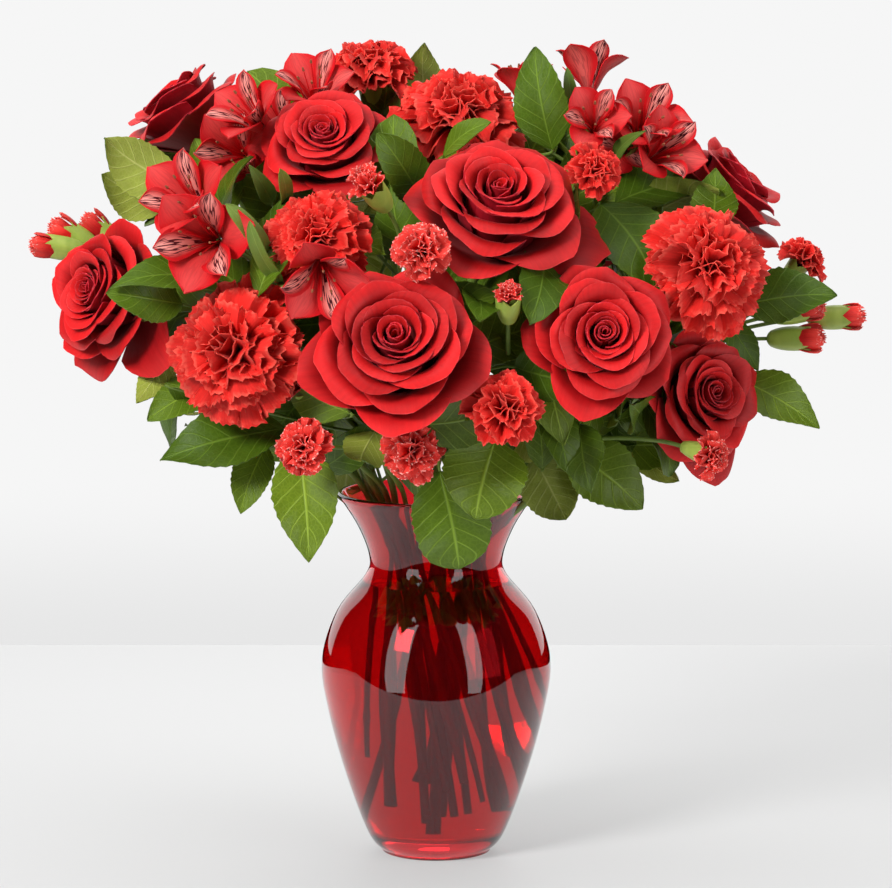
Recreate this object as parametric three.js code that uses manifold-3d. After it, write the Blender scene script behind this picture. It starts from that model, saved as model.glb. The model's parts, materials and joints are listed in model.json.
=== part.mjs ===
// A round bouquet of red roses, carnations, spray carnations and Peruvian lilies with salal leaves,
// standing in water in a flared vase of red glass. Millimetres, +Z up, the front of the bouquet at -Y,
// the origin at the middle of the vase's flat foot.
import * as THREE from "three";
import { mergeVertices } from "three/addons/utils/BufferGeometryUtils.js";
import Module from "manifold-3d";

const wasm = await Module();
wasm.setup();

// The vase: an eight-inch gathering vase. Its outside runs from the foot to the lip as [radius, height].
const OUTSIDE = [
  [29, 0], [38.3, 10.7], [50.9, 45], [60.3, 80], [63.8, 108],
  [55.3, 135.5], [39.3, 156], [37.2, 167], [43.5, 184], [54.8, 202],
];
const WALL = 3;
const FLOOR = 12;
const LIP = 203;
const VASE_SIDES = 24;
const WATER_LEVEL = 152;

// Clearances: what touches lies GAP apart, and PLATE is the thickness of petals and leaves.
const GAP = 0.3;
const PLATE = 0.8;

// Where the stems pass the neck and the lip, and how they stand in the water: each foot is its place in the
// neck, turned round the axis and spread, so the stems cross. The outer ones end on the wall, a CLEAR off it.
const NECK = { height: 167, radius: 33.6 };
const MOUTH = { height: 209, radius: 43 };
const FOOT = { lowest: 14.5, highest: 34, turn: 70, spread: 2.3, radius: 70, crowding: 0.72 };
const CLEAR = 2.4;
// Stems of one node press together in the neck, to this share of the width of the two.
const PRESSED = 0.64;
// How often the stems are pushed apart: in the neck, in the water, and above the lip, where they are also
// evened out as they give way to each other and to the blooms.
const PASSES = { neck: 1500, water: 400, above: 160 };
const EVENING = { early: 0.06, late: 0.01, until: 120 };

// Places are sighted from the front: across and up are measured on the plane through the vase's axis,
// and a piece that stands forward of it is drawn back along the line of sight to this eye.
const EYE = new THREE.Vector3(5.5, -2200, 520);
const UP = new THREE.Vector3(0, 0, 1);

// Blooms. `at` is the heart of the bloom as [across, up, forward], `face` is the way it looks as
// [right, forward, up], and `width` is how far it is open.
const ROSES = [
  { name: "rose_front", at: [-22, 284, 146], face: [-0.03, 0.84, 0.54], width: 101, turn: 20 },
  { name: "rose_center", at: [34, 362, 100], face: [0.06, 0.66, 0.74], width: 98, turn: 70 },
  { name: "rose_right", at: [92, 289, 124], face: [0.05, 0.95, 0.3], width: 84, turn: 0 },
  { name: "rose_upper_left", at: [-61, 396, 48], face: [-0.08, 0.72, 0.69], width: 76, turn: 40 },
  { name: "rose_left", at: [-178, 315, 46], face: [-0.74, 0.62, 0.26], width: 80, turn: 10 },
  { name: "rose_back_left", at: [-140, 414, -18], face: [-0.6, 0.05, 0.8], width: 74, turn: 55 },
  { name: "rose_back_right", at: [153, 370, 4], face: [0.66, 0.1, 0.74], width: 80, turn: 30 },
  { name: "rose_lower_right", at: [148, 257, 66], face: [0.55, 0.8, 0.24], width: 76, turn: 80 },
  { name: "rose_behind_left", at: [-84, 345, -100], face: [-0.4, -0.8, 0.45], width: 76, turn: 15 },
  { name: "rose_behind_right", at: [84, 330, -104], face: [0.4, -0.8, 0.45], width: 76, turn: 65 },
];
const CARNATIONS = [
  { name: "carnation_front_left", at: [-112, 281, 108], face: [-0.3, 0.92, 0.2], width: 80, turn: 0 },
  { name: "carnation_top", at: [11, 418, 18], face: [0, 0.5, 0.87], width: 80, turn: 30 },
  { name: "carnation_right", at: [149, 331, 88], face: [0.4, 0.85, 0.35], width: 78, turn: 50 },
  { name: "carnation_left", at: [-66, 345, 98], face: [-0.1, 0.85, 0.5], width: 60, turn: 15 },
  { name: "carnation_top_left", at: [-37, 436, -26], face: [-0.1, 0.25, 0.97], width: 52, turn: 40 },
  { name: "carnation_behind", at: [2, 392, -74], face: [0, -0.66, 0.75], width: 76, turn: 10 },
];
const MINIS = [
  { name: "mini_upper_right", at: [87, 381, 90], face: [0.35, 0.8, 0.45], width: 34, turn: 0 },
  { name: "mini_front_right", at: [38, 249, 146], face: [0.1, 0.8, 0.45], width: 46, turn: 20 },
  { name: "mini_center", at: [-8, 337, 140], face: [0, 0.93, 0.35], width: 34, turn: 40 },
  { name: "mini_bud_center", at: [-36, 372, 118], face: [-0.45, 0.6, 0.66], width: 24, turn: 0 },
  { name: "mini_bud_front", at: [40, 311, 134], face: [0, 0.6, 0.8], width: 17, turn: 30 },
  { name: "mini_low_left", at: [-74, 227, 128], face: [-0.25, 0.95, 0.1], width: 33, turn: 60 },
  { name: "mini_low_center", at: [-13, 225, 126], face: [0, 0.98, 0], width: 36, turn: 15 },
  { name: "mini_low_right", at: [153, 222, 104], face: [0.75, 0.6, -0.2], width: 27, turn: 45 },
  { name: "mini_far_right", at: [203, 333, 24], face: [0.6, 0.2, 0.8], width: 32, turn: 10 },
  { name: "mini_behind_left", at: [-77, 262, 82], face: [-0.6, 0.5, 0.4], width: 26, turn: 25 },
];
const BUDS = [
  { name: "left_low", at: [-213, 344, 8], face: [-0.9, 0.1, 0.15] },
  { name: "left_high", at: [-203, 353, -4], face: [-0.8, 0, 0.5] },
  { name: "left_inner", at: [-186, 355, -12], face: [-0.7, -0.1, 0.6] },
  { name: "right_long", at: [226, 300, 22], face: [0.97, 0.1, 0.05] },
  { name: "right_low", at: [208, 288, 28], face: [0.97, 0.15, 0.02] },
  { name: "right_high", at: [204, 304, 34], face: [0.9, 0.3, 0.2] },
];
const LILIES = [
  { node: "lily_upper_left", at: [-103, 413, 36], face: [-0.5, 0.6, 0.6], width: 40 },
  { node: "lilies_left", at: [-127, 343, 98], face: [-0.2, 0.9, 0.1], width: 52 },
  { node: "lilies_left", at: [-137, 366, 86], face: [-0.45, 0.75, 0.5], width: 46 },
  { node: "lily_center_left", at: [-63, 322, 140], face: [0.05, 0.9, -0.35], width: 44 },
  { node: "lily_top_left", at: [-72, 434, 10], face: [-0.1, 0.5, 0.86], width: 40 },
  { node: "lily_top_bell", at: [84, 436, 6], face: [0.05, 0, 1], width: 34 },
  { node: "lily_top_inner", at: [46, 431, -14], face: [-0.1, -0.1, 1], width: 32 },
  { node: "lily_top_right", at: [87, 408, 50], face: [0, 0.9, 0.4], width: 34 },
  { node: "lilies_right", at: [117, 410, 38], face: [0.2, 0.7, 0.7], width: 42 },
  { node: "lilies_right", at: [127, 393, 46], face: [0.45, 0.8, 0.35], width: 40 },
];

// Sprays: one stem that forks, with the blooms and buds that its branches carry.
const SPRAYS = [
  { name: "spray_left", fork: [-118, 322, -6], buds: ["left_low", "left_high", "left_inner"] },
  { name: "spray_center", fork: [-14, 296, 84], minis: ["mini_center", "mini_bud_center"] },
  {
    name: "spray_low", fork: [-34, 226, 66],
    minis: ["mini_low_left", "mini_low_center", "mini_behind_left"],
  },
  {
    name: "spray_mid", fork: [40, 276, 74],
    minis: ["mini_bud_front", "mini_front_right", "mini_upper_right"],
  },
  { name: "spray_low_right", fork: [84, 232, 66], minis: ["mini_low_right"] },
  {
    name: "spray_far_right", fork: [136, 284, 14],
    minis: ["mini_far_right"], buds: ["right_long", "right_low", "right_high"],
  },
];

// Leaves run from base to tip, each as [across, up, forward], with a width and the way the top looks.
const LILY_STEMS = [
  {
    name: "lily_stem_left", fork: [-94, 326, 66], lilies: [1, 2, 3],
    leaves: [
      { base: [-92, 330, 92], tip: [-113, 362, 112], width: 12, face: [0.5, 0.8, 0.2] },
      { base: [-84, 318, 96], tip: [-104, 350, 122], width: 11, face: [-0.5, 0.8, 0.3] },
      { base: [-88, 318, 96], tip: [-54, 307, 132], width: 10, face: [0, 0.4, 0.9] },
    ],
  },
  {
    name: "lily_stem_top_left", fork: [-84, 378, 6], lilies: [0, 4],
    leaves: [
      { base: [-90, 362, 58], tip: [-101, 382, 84], width: 10, face: [0, 0.9, 0.3] },
      { base: [-84, 360, 64], tip: [-84, 380, 88], width: 9, face: [0.4, 0.9, 0.2] },
    ],
  },
  {
    name: "lily_stem_right", fork: [88, 378, 8], lilies: [5, 6, 7, 8, 9],
    leaves: [
      { base: [76, 408, 24], tip: [72, 436, 34], width: 8, face: [0, 0.9, 0.3] },
      { base: [98, 384, 40], tip: [112, 402, 76], width: 9, face: [-0.5, 0.8, 0.2] },
    ],
  },
];
const FOLIAGE = [
  {
    name: "foliage_far_left", top: [-132, 352, 6],
    leaves: [
      { base: [-138, 371, 30], tip: [-183, 397, 36], width: 34, face: [-0.1, 0.8, 0.6] },
      { base: [-148, 360, 14], tip: [-184, 378, 18], width: 29, face: [-0.2, 0.8, 0.4] },
      { base: [-120, 340, -34], tip: [-160, 362, -72], width: 30, face: [-0.5, -0.6, 0.6] },
      { base: [-118, 310, -40], tip: [-168, 306, -60], width: 30, face: [-0.4, -0.5, 0.8] },
    ],
  },
  {
    name: "foliage_left", top: [-128, 292, 42],
    leaves: [
      { base: [-124, 320, 84], tip: [-179, 319, 104], width: 25, face: [0, 0.6, 0.8] },
      { base: [-140, 307, 78], tip: [-180, 314, 100], width: 26, face: [-0.1, 0.9, 0.3] },
      { base: [-146, 284, 52], tip: [-165, 251, 64], width: 20, face: [-0.3, 0.9, 0.2] },
      { base: [-124, 262, 56], tip: [-160, 244, 68], width: 25, face: [-0.1, 0.8, 0.5] },
    ],
  },
  {
    name: "foliage_low_left", top: [-66, 240, 52],
    leaves: [
      { base: [-82, 240, 78], tip: [-152, 227, 92], width: 32, face: [0, 0.7, 0.7] },
      { base: [-94, 228, 66], tip: [-109, 191, 80], width: 22, face: [-0.2, 0.95, 0.2] },
      { base: [-66, 224, 84], tip: [-68, 163, 106], width: 40, face: [-0.05, 0.95, 0.3] },
    ],
  },
  {
    name: "foliage_front", top: [6, 236, 56],
    leaves: [
      { base: [2, 214, 74], tip: [13, 159, 82], width: 44, face: [0, 0.97, 0.2] },
      { base: [33, 232, 94], tip: [22, 188, 112], width: 46, face: [0.05, 0.85, 0.5] },
      { base: [8, 238, 84], tip: [22, 206, 94], width: 26, face: [0.2, 0.9, 0.3] },
    ],
  },
  {
    name: "foliage_low_right", top: [62, 232, 48],
    leaves: [
      { base: [56, 296, 80], tip: [70, 230, 106], width: 34, face: [-0.2, 0.95, 0.1] },
      { base: [80, 240, 86], tip: [85, 203, 106], width: 26, face: [-0.3, 0.9, 0.3] },
      { base: [56, 222, 72], tip: [75, 187, 88], width: 31, face: [0.1, 0.95, 0.2] },
      { base: [82, 232, 62], tip: [120, 197, 74], width: 38, face: [0.1, 0.9, 0.3] },
      { base: [99, 233, 44], tip: [134, 207, 52], width: 14, face: [0.2, 0.8, 0.5] },
    ],
  },
  {
    name: "foliage_right", top: [140, 292, 30],
    leaves: [
      { base: [168, 322, 40], tip: [221, 318, 54], width: 34, face: [0.1, 0.8, 0.55] },
      { base: [166, 266, 36], tip: [212, 241, 48], width: 29, face: [0.2, 0.8, 0.5] },
      { base: [158, 300, 34], tip: [179, 270, 36], width: 17, face: [0.3, 0.9, 0.1] },
      { base: [128, 300, -20], tip: [176, 318, -54], width: 32, face: [0.4, -0.5, 0.8] },
    ],
  },
  {
    name: "foliage_top", top: [24, 392, 10],
    leaves: [
      { base: [64, 392, 38], tip: [53, 448, 36], width: 31, face: [-0.2, 0.9, 0.2] },
      { base: [-4, 416, -46], tip: [-7, 459, -52], width: 27, face: [0.2, 0.8, 0.3] },
      { base: [-8, 364, 58], tip: [-30, 400, 84], width: 26, face: [0.3, 0.9, 0.1] },
      { base: [4, 388, 50], tip: [28, 408, 66], width: 15, face: [-0.2, 0.7, 0.6] },
    ],
  },
  {
    name: "foliage_mid_right", top: [104, 336, 34],
    leaves: [
      { base: [90, 362, 56], tip: [124, 315, 88], width: 40, face: [0.1, 0.8, 0.6] },
      { base: [152, 350, 38], tip: [153, 381, 46], width: 26, face: [-0.1, 0.9, 0.3] },
      { base: [84, 344, 60], tip: [66, 320, 96], width: 30, face: [0.3, 0.8, 0.5] },
    ],
  },
  {
    name: "foliage_behind", top: [0, 312, -56],
    leaves: [
      { base: [-30, 290, -80], tip: [-66, 262, -126], width: 38, face: [-0.3, -0.7, 0.6] },
      { base: [30, 284, -84], tip: [58, 250, -128], width: 38, face: [0.3, -0.7, 0.6] },
      { base: [0, 318, -86], tip: [2, 350, -136], width: 36, face: [0, -0.8, 0.6] },
      { base: [-40, 250, -62], tip: [-52, 200, -96], width: 36, face: [-0.2, -0.9, 0.3] },
      { base: [30, 246, -60], tip: [30, 192, -92], width: 38, face: [0.1, -0.9, 0.3] },
      { base: [76, 262, -60], tip: [120, 240, -88], width: 32, face: [0.5, -0.6, 0.6] },
    ],
  },
];

// Long stems, several to a node where they press together in the neck.
const ROSE_STEMS = [
  { name: "rose_stems_left", blooms: ["rose_left", "rose_back_left", "rose_behind_left"] },
  { name: "rose_stems_front", blooms: ["rose_front", "rose_center", "rose_upper_left"] },
  { name: "rose_stems_right", blooms: ["rose_lower_right", "rose_right"] },
  { name: "rose_stems_behind", blooms: ["rose_back_right", "rose_behind_right"] },
];
const CARNATION_STEMS = [
  { name: "carnation_stems_left", blooms: ["carnation_front_left", "carnation_left"] },
  {
    name: "carnation_stems_right",
    blooms: ["carnation_top", "carnation_top_left", "carnation_behind", "carnation_right"],
  },
];

// How each kind is made. Radii and heights of whorls are shares of half the bloom's width.
const ROSE = {
  stem: 2.9, sides: 4, depth: 0.62, hip: 4.6, sepals: 17, folds: 5,
  whorls: [
    { petals: 5, reach: 1.02, rise: 0.56, tuck: 0.07, start: 0, valley: [0.52, 0.34] },
    { petals: 4, reach: 0.76, rise: 0.84, tuck: 0.09, start: 0.35, valley: [0.36, 0.5] },
    { petals: 3, reach: 0.46, rise: 0.98, tuck: 0.13, start: 0.1, valley: [0.18, 0.66] },
    { petals: 2, reach: 0.2, rise: 1.06, tuck: 0.24, start: 0.6, valley: [0, 0.84] },
  ],
};
const CARNATION = {
  stem: 2.2, sides: 4, depth: 0.55, calyx: 21, girth: 6.2, folds: 6,
  whorls: [
    { petals: 6, teeth: 4, reach: 1, rise: 0.26, wave: 0.09, valley: [0.34, 0.32] },
    { petals: 5, teeth: 4, reach: 0.93, rise: 0.58, wave: 0.1, valley: [0.24, 0.54] },
    { petals: 4, teeth: 4, reach: 0.68, rise: 0.86, wave: 0.09, valley: [0.14, 0.78] },
    { petals: 3, teeth: 3, reach: 0.36, rise: 1.02, wave: 0.07, valley: [0, 0.86] },
  ],
};
const MINI = {
  stem: 1.5, sides: 3, depth: 0.55, calyx: 12, girth: 3.4, folds: 5,
  whorls: [
    { petals: 5, teeth: 3, reach: 1, rise: 0.55, wave: 0.1, valley: [0.24, 0.5] },
    { petals: 4, teeth: 2, reach: 0.58, rise: 0.98, wave: 0.1, valley: [0, 0.74] },
  ],
};
// A petal's edge in a rose, as [turn, side, drop]: it starts outside its neighbour, and ends inside the next.
const LAP = [[0, 1, 0.1], [0.3, 0.6, 0], [0.62, -0.2, 0], [0.87, -1, 0.1]];
// A bell's petals as [reach, height] of the tip and of the shoulders beside it, and of the notch between two.
const LILY = {
  stem: 2.2, sides: 4, branch: 1.2, depth: 1.05,
  broad: [[1, 1.5], [0.82, 1.42]], narrow: [[0.86, 1.72], [0.62, 1.5]], notch: [0.46, 1.14],
  throat: [0.34, 0.8], floor: 0.5,
};
const BUD = [[0, -7], [2, -7], [3.8, 0], [3.2, 9], [0, 17]];
const SALAL = { stem: 1.8, sides: 4, stalk: 0.9, rib: 0.65, fold: 0.16, arch: 0.3 };
// A leaf's outline as [share of its length, share of its width], from the end of the stalk to the tip.
const LEAF = [[0, 0.07], [0.2, 0.78], [0.45, 1], [0.74, 0.68], [1, 0.03]];

const COLOURS = {
  glass: 0x8c0d16, water: 0xd9e6e2, rose: 0xa80f1c, carnation: 0xd0191c, mini: 0xc9262c,
  lily: 0xa81f2c, stem: 0x5c7a33, leaf: 0x3f6420,
};

const radians = THREE.MathUtils.degToRad;

// A repeatable draw from 0 to 1.
function seeded(seed) {
  let state = seed;
  return () => {
    state = (state * 1664525 + 1013904223) % 4294967296;
    return state / 4294967296;
  };
}

function seen([across, up, forward]) {
  const point = new THREE.Vector3(across, 0, up);
  return point.sub(EYE).multiplyScalar((-EYE.y - forward) / -EYE.y).add(EYE);
}

function facing([right, forward, up]) {
  return new THREE.Vector3(right, -forward, up).normalize();
}

// A closed geometry as a solid, turned right side out.
function solid(geometry) {
  const bare = new THREE.BufferGeometry().setAttribute("position", geometry.getAttribute("position"));
  bare.setIndex(geometry.index);
  const merged = mergeVertices(bare, 1e-4);
  const vertProperties = merged.getAttribute("position").array;
  const triVerts = new Uint32Array(merged.index.array);
  const build = () => new wasm.Manifold(new wasm.Mesh({ numProp: 3, vertProperties, triVerts }));
  const made = build();
  if (made.volume() > 0) return made;
  triVerts.reverse();
  return build();
}

function fuse(solids) {
  return wasm.Manifold.union(solids);
}

// The largest body of a solid that a cut has left in several.
function largest(cut) {
  return cut.decompose().sort((a, b) => b.volume() - a.volume())[0];
}

// A body turned about the z axis from [radius, height] pairs, the first and the last on the axis.
function turned(profile, sides) {
  const points = profile.map(([r, z]) => new THREE.Vector2(r, z));
  return new THREE.LatheGeometry(points, sides).rotateX(Math.PI / 2);
}

// A path that goes straight from point to point, so a tube along it bends only at them.
class Through extends THREE.Curve {
  constructor(points) {
    super();
    this.points = points;
  }

  getPoint(t) {
    const last = this.points.length - 1;
    const k = THREE.MathUtils.clamp(Math.floor(t * last), 0, last - 1);
    return this.points[k].clone().lerp(this.points[k + 1], t * last - k);
  }

  getUtoTmapping(u) {
    return u;
  }
}

function tube(points, radius, sides) {
  const ring = [];
  for (let k = 0; k < sides; k++) {
    const angle = (2 * Math.PI * k) / sides;
    ring.push(new THREE.Vector2(radius * Math.cos(angle), radius * Math.sin(angle)));
  }
  const settings = { steps: points.length - 1, extrudePath: new Through(points) };
  return new THREE.ExtrudeGeometry(new THREE.Shape(ring), settings);
}

// Triangles between two rings of points that run the same way round. `a` and `b` give each point's share of
// a turn, and where two are level the ring with more points goes first, so that both faces of a plate match.
function stitch(first, a, second, b) {
  const index = [];
  let i = 0;
  let j = 0;
  const next = (turns, k) => (k < turns.length - 1 ? turns[k + 1] : turns[0] + 1);
  while (i < a.length || j < b.length) {
    const ahead = next(a, i) - next(b, j);
    const level = Math.abs(ahead) < 1e-9;
    const p = first + (i % a.length);
    const q = second + (j % b.length);
    if (j >= b.length || (i < a.length && (level ? a.length > b.length : ahead < 0))) {
      i += 1;
      if (a.length > 1) index.push(p, first + (i % a.length), q);
    } else {
      j += 1;
      if (b.length > 1) index.push(p, second + (j % b.length), q);
    }
  }
  return index;
}

// A closed body from rings of points, the first and the last of them a single point.
function ringed(rings, turns = rings.map((ring) => ring.map((_, k) => k / ring.length))) {
  const starts = rings.map((_, k) => rings.slice(0, k).flat().length);
  const index = rings.slice(1)
    .flatMap((_, k) => stitch(starts[k], turns[k], starts[k + 1], turns[k + 1]));
  const geometry = new THREE.BufferGeometry().setFromPoints(rings.flat());
  geometry.setIndex(index);
  return geometry;
}

// A point at a share of a turn round the z axis.
function around(turn, radius, height) {
  const angle = 2 * Math.PI * turn;
  return new THREE.Vector3(radius * Math.cos(angle), radius * Math.sin(angle), height);
}

// A head of petals in whorls: each whorl runs out from its root to its edge, and back in to the valley
// from which the next one rises. An edge is a list of [turn, reach, height] in shares of the radius.
function whorled(kind, edgeOf, radius, grow) {
  const rings = [[[0, 0, -grow]]];
  let root = [0, 0];
  for (const whorl of kind.whorls) {
    const slope = Math.atan2(whorl.rise - root[1], whorl.reach - root[0]);
    const edge = edgeOf(whorl, Math.tan(Math.min(slope, 1.2)))
      .map(([turn, reach, height]) => [(turn + 1) % 1, reach * radius, height * radius])
      .sort((one, other) => one[0] - other[0]);
    for (const side of [-1, 1]) {
      const half = side * (PLATE / 2 + grow);
      const out = grow - half * Math.sin(slope);
      rings.push(edge.map(([turn, r, z]) => [turn, r + out, z + half * Math.cos(slope)]));
    }
    const [r, z] = whorl.valley;
    const fold = (_, k) => [k / kind.folds, r * radius + grow, z * radius];
    rings.push(r ? Array.from({ length: kind.folds }, fold) : [[0, 0, z * radius + grow]]);
    root = whorl.valley;
  }
  const turns = rings.map((ring) => ring.map(([turn]) => turn));
  return ringed(rings.map((ring) => ring.map((point) => around(...point))), turns);
}

// A carnation's edge is toothed and waved, with a notch after every petal.
function frilledEdge(draw) {
  return (whorl, slant) => {
    const steps = whorl.petals * whorl.teeth;
    return Array.from({ length: steps }, (_, k) => {
      const reach = whorl.reach * (k % whorl.teeth === 0 ? 0.7 : 0.95 + 0.1 * draw());
      const wave = whorl.wave * (k % 2 ? 1 : -1);
      return [k / steps, reach, whorl.rise + (reach - whorl.reach) * slant + wave];
    });
  };
}

// A rose's edge: every petal starts outside the one before it and ends tucked under the next.
function lappedEdge(draw) {
  return (whorl) => {
    const edge = [];
    for (let k = 0; k < whorl.petals; k++) {
      const lift = 0.05 * (draw() - 0.5);
      for (const [turn, out, drop] of LAP) {
        const reach = whorl.reach * (1 + out * whorl.tuck);
        edge.push([(whorl.start + k + turn) / whorl.petals, reach, whorl.rise + lift - drop]);
      }
    }
    return edge;
  };
}

// The place of a bloom's foot, `depth` behind its heart, with the z axis the way the bloom faces.
function stance(bloom, depth) {
  const axis = facing(bloom.face);
  const place = new THREE.Object3D();
  place.quaternion.setFromUnitVectors(UP, axis);
  place.rotateZ(radians(bloom.turn ?? 0));
  place.position.copy(seen(bloom.at)).addScaledVector(axis, -depth);
  place.updateMatrixWorld(true);
  return place;
}

function roseHead(bloom, radius, grow) {
  return whorled(ROSE, lappedEdge(seeded(bloom.width + bloom.turn)), radius, grow);
}

function frilledHead(kind, bloom, radius, grow) {
  return whorled(kind, frilledEdge(seeded(bloom.width * 7 + bloom.turn)), radius, grow);
}

// A bell that opens in six pointed petals, three broad ones and three narrow ones between them.
function lilyHead(radius, grow) {
  const rings = [[around(0, 0, -grow)]];
  for (const side of [1, -1]) {
    const half = side * (PLATE / 2 + grow);
    const throat = Array.from({ length: 12 }, (_, k) =>
      around(k / 12, LILY.throat[0] * radius + half, LILY.throat[1] * radius - 0.4 * half));
    const edge = Array.from({ length: 24 }, (_, k) => {
      const [tip, shoulder] = Math.floor((k + 2) / 4) % 2 ? LILY.narrow : LILY.broad;
      const [r, z] = [tip, shoulder, LILY.notch, shoulder][k % 4];
      return around(k / 24, r * radius + 0.5 * half + 0.7 * grow, z * radius - 0.7 * half);
    });
    rings.push(...(side > 0 ? [throat, edge] : [edge, throat]));
  }
  rings.push([around(0, 0, LILY.floor * radius + grow)]);
  return ringed(rings);
}

// A pointed leaf on its stalk: sections from the stem outwards, each with two edges and with the midrib
// above and below, arched along the blade and folded up from the midrib.
function leafPiece(leaf, stalk, grow) {
  const base = seen(leaf.base);
  const along = seen(leaf.tip).sub(base);
  const side = along.clone().cross(facing(leaf.face)).normalize();
  const top = side.clone().cross(along).normalize();
  const sections = stalk.slice(0, -1)
    .map((middle) => ({ middle, reach: SALAL.stalk, thick: SALAL.stalk, blade: false }));
  for (const [v, share] of LEAF) {
    const middle = base.clone().addScaledVector(along, v);
    middle.addScaledVector(top, SALAL.arch * along.length() * v * (1 - v));
    sections.push({ middle, reach: Math.max(0.5, (share * leaf.width) / 2), thick: SALAL.rib, blade: v > 0 });
  }
  const rings = sections.map(({ middle, reach, thick, blade }, k) => {
    const before = sections[Math.max(0, k - 1)].middle;
    const after = sections[Math.min(sections.length - 1, k + 1)].middle;
    const way = after.clone().sub(before).normalize();
    const across = side.clone().addScaledVector(way, -side.dot(way));
    if (across.length() < 0.3) across.copy(top).addScaledVector(way, -top.dot(way));
    across.normalize();
    const above = across.clone().cross(way);
    const edge = (u) => middle.clone()
      .addScaledVector(across, u * (reach + 2 * grow))
      .addScaledVector(above, blade ? SALAL.fold * reach : 0);
    const rib = (u) => middle.clone().addScaledVector(above, u * (thick + 1.4 * grow));
    return [edge(-1), rib(1), edge(1), rib(-1)];
  });
  const ends = [sections[0], sections.at(-1)].map(({ middle }) => [middle.clone()]);
  ends[1][0].addScaledVector(along, (0.4 + grow) / along.length());
  return ringed([ends[0], ...rings, ends[1]]);
}

// Strands are all that is long and thin: stems, branches and stalks. The points of a strand numbered from
// `free` to `last` can give way, and `serves` is the bloom that it may touch. A strand with no sides only
// leads a leaf's stalk.
const strands = [];
function addStrand({ node, serves, radius, sides, head }, points, free, last) {
  const strand = { node, serves, radius, sides, points, free, last, trunk: Boolean(head) };
  strands.push(strand);
  return strand;
}

// Blooms with their places. `ball` stands for the bloom where strands make way for it.
const blooms = [];
function addBloom(kind, bloom, colour, build, node = bloom.name) {
  const radius = bloom.width / 2;
  const place = stance(bloom, kind.depth * radius);
  const axis = facing(bloom.face);
  const ball = new THREE.Sphere(place.position.clone().addScaledVector(axis, 0.6 * radius), 0.76 * radius);
  const shape = (grow) => solid(build(radius, grow).applyMatrix4(place.matrixWorld));
  blooms.push({ name: bloom.name ?? node, node, colour, place, axis, ball, shape });
}
for (const b of ROSES) addBloom(ROSE, b, COLOURS.rose, (r, grow) => roseHead(b, r, grow));
for (const b of CARNATIONS)
  addBloom(CARNATION, b, COLOURS.carnation, (r, grow) => frilledHead(CARNATION, b, r, grow));
for (const b of MINIS) addBloom(MINI, b, COLOURS.mini, (r, grow) => frilledHead(MINI, b, r, grow));
for (const b of LILIES) addBloom(LILY, b, COLOURS.lily, lilyHead, b.node);
const lilyBlooms = blooms.slice(-LILIES.length);
const bloomNamed = new Map(blooms.map((b) => [b.name, b]));

// The nearest points of two straight lengths, as shares s of a-b and t of c-d, and the way between them.
function nearest(a, b, c, d) {
  const ab = b.clone().sub(a);
  const cd = d.clone().sub(c);
  const ca = a.clone().sub(c);
  const [aa, cc, mix, p, q] = [ab.dot(ab), cd.dot(cd), ab.dot(cd), ab.dot(ca), cd.dot(ca)];
  const spread = aa * cc - mix * mix;
  let s = spread > 1e-6 ? THREE.MathUtils.clamp((mix * q - p * cc) / spread, 0, 1) : 0;
  const t = THREE.MathUtils.clamp((mix * s + q) / cc, 0, 1);
  s = THREE.MathUtils.clamp((mix * t - p) / aa, 0, 1);
  const apart = c.clone().addScaledVector(cd, t).sub(a).addScaledVector(ab, -s);
  return { s, t, apart };
}

// The stems that go down into the water, each with the point that it rises to and the way it arrives there.
const trunks = [];
function addTrunk(kind, node, serves, head, axis) {
  trunks.push({ node, serves, head, axis, radius: kind.stem, sides: kind.sides });
}
for (const s of ROSE_STEMS)
  for (const name of s.blooms) {
    const { place, axis } = bloomNamed.get(name);
    addTrunk(ROSE, s.name, name, place.position.clone().addScaledVector(axis, -1.1 * ROSE.hip), axis);
  }
for (const s of CARNATION_STEMS)
  for (const name of s.blooms) {
    const { place, axis } = bloomNamed.get(name);
    const head = place.position.clone().addScaledVector(axis, 2 - CARNATION.calyx);
    addTrunk(CARNATION, s.name, name, head, axis);
  }
for (const s of SPRAYS) addTrunk(MINI, s.name, s.name, seen(s.fork), null);
for (const s of LILY_STEMS) addTrunk(LILY, s.name, s.name, seen(s.fork), null);
for (const s of FOLIAGE) addTrunk(SALAL, s.name, s.name, seen(s.top), null);

// Two stems of one node stand against each other: each pass eases their places together, or apart.
function hold(one, other, sum) {
  const apart = other.clone().sub(one);
  apart.setLength(0.5 * Math.max(PRESSED * sum - apart.length(), -0.3));
  other.add(apart);
  one.sub(apart);
}

// Each trunk's place in the neck. They push each other until none touch, there or lower down where they
// slant past each other, but those of one node stand against each other.
function fillNeck() {
  for (const trunk of trunks) {
    const flat = new THREE.Vector2(trunk.head.x, trunk.head.y);
    const lean = Math.atan2(flat.length(), trunk.head.z - NECK.height);
    trunk.slot = flat.setLength((NECK.radius - 3) * Math.min(1, Math.pow(lean / 1.2, 0.8)));
  }
  for (let pass = 0; pass < PASSES.neck; pass++)
    trunks.forEach((one, i) => {
      for (const other of trunks.slice(i + 1)) {
        const sum = one.radius + other.radius;
        if (one.node === other.node) {
          hold(one.slot, other.slot, sum);
          continue;
        }
        const apart = other.slot.clone().sub(one.slot);
        const short = (sum + 2 * GAP) / FOOT.crowding - apart.length();
        if (short <= 0) continue;
        apart.setLength(0.5 * short);
        other.slot.add(apart);
        one.slot.sub(apart);
      }
      one.slot.clampLength(0, NECK.radius - one.radius - GAP);
    });
}
fillNeck();

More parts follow.
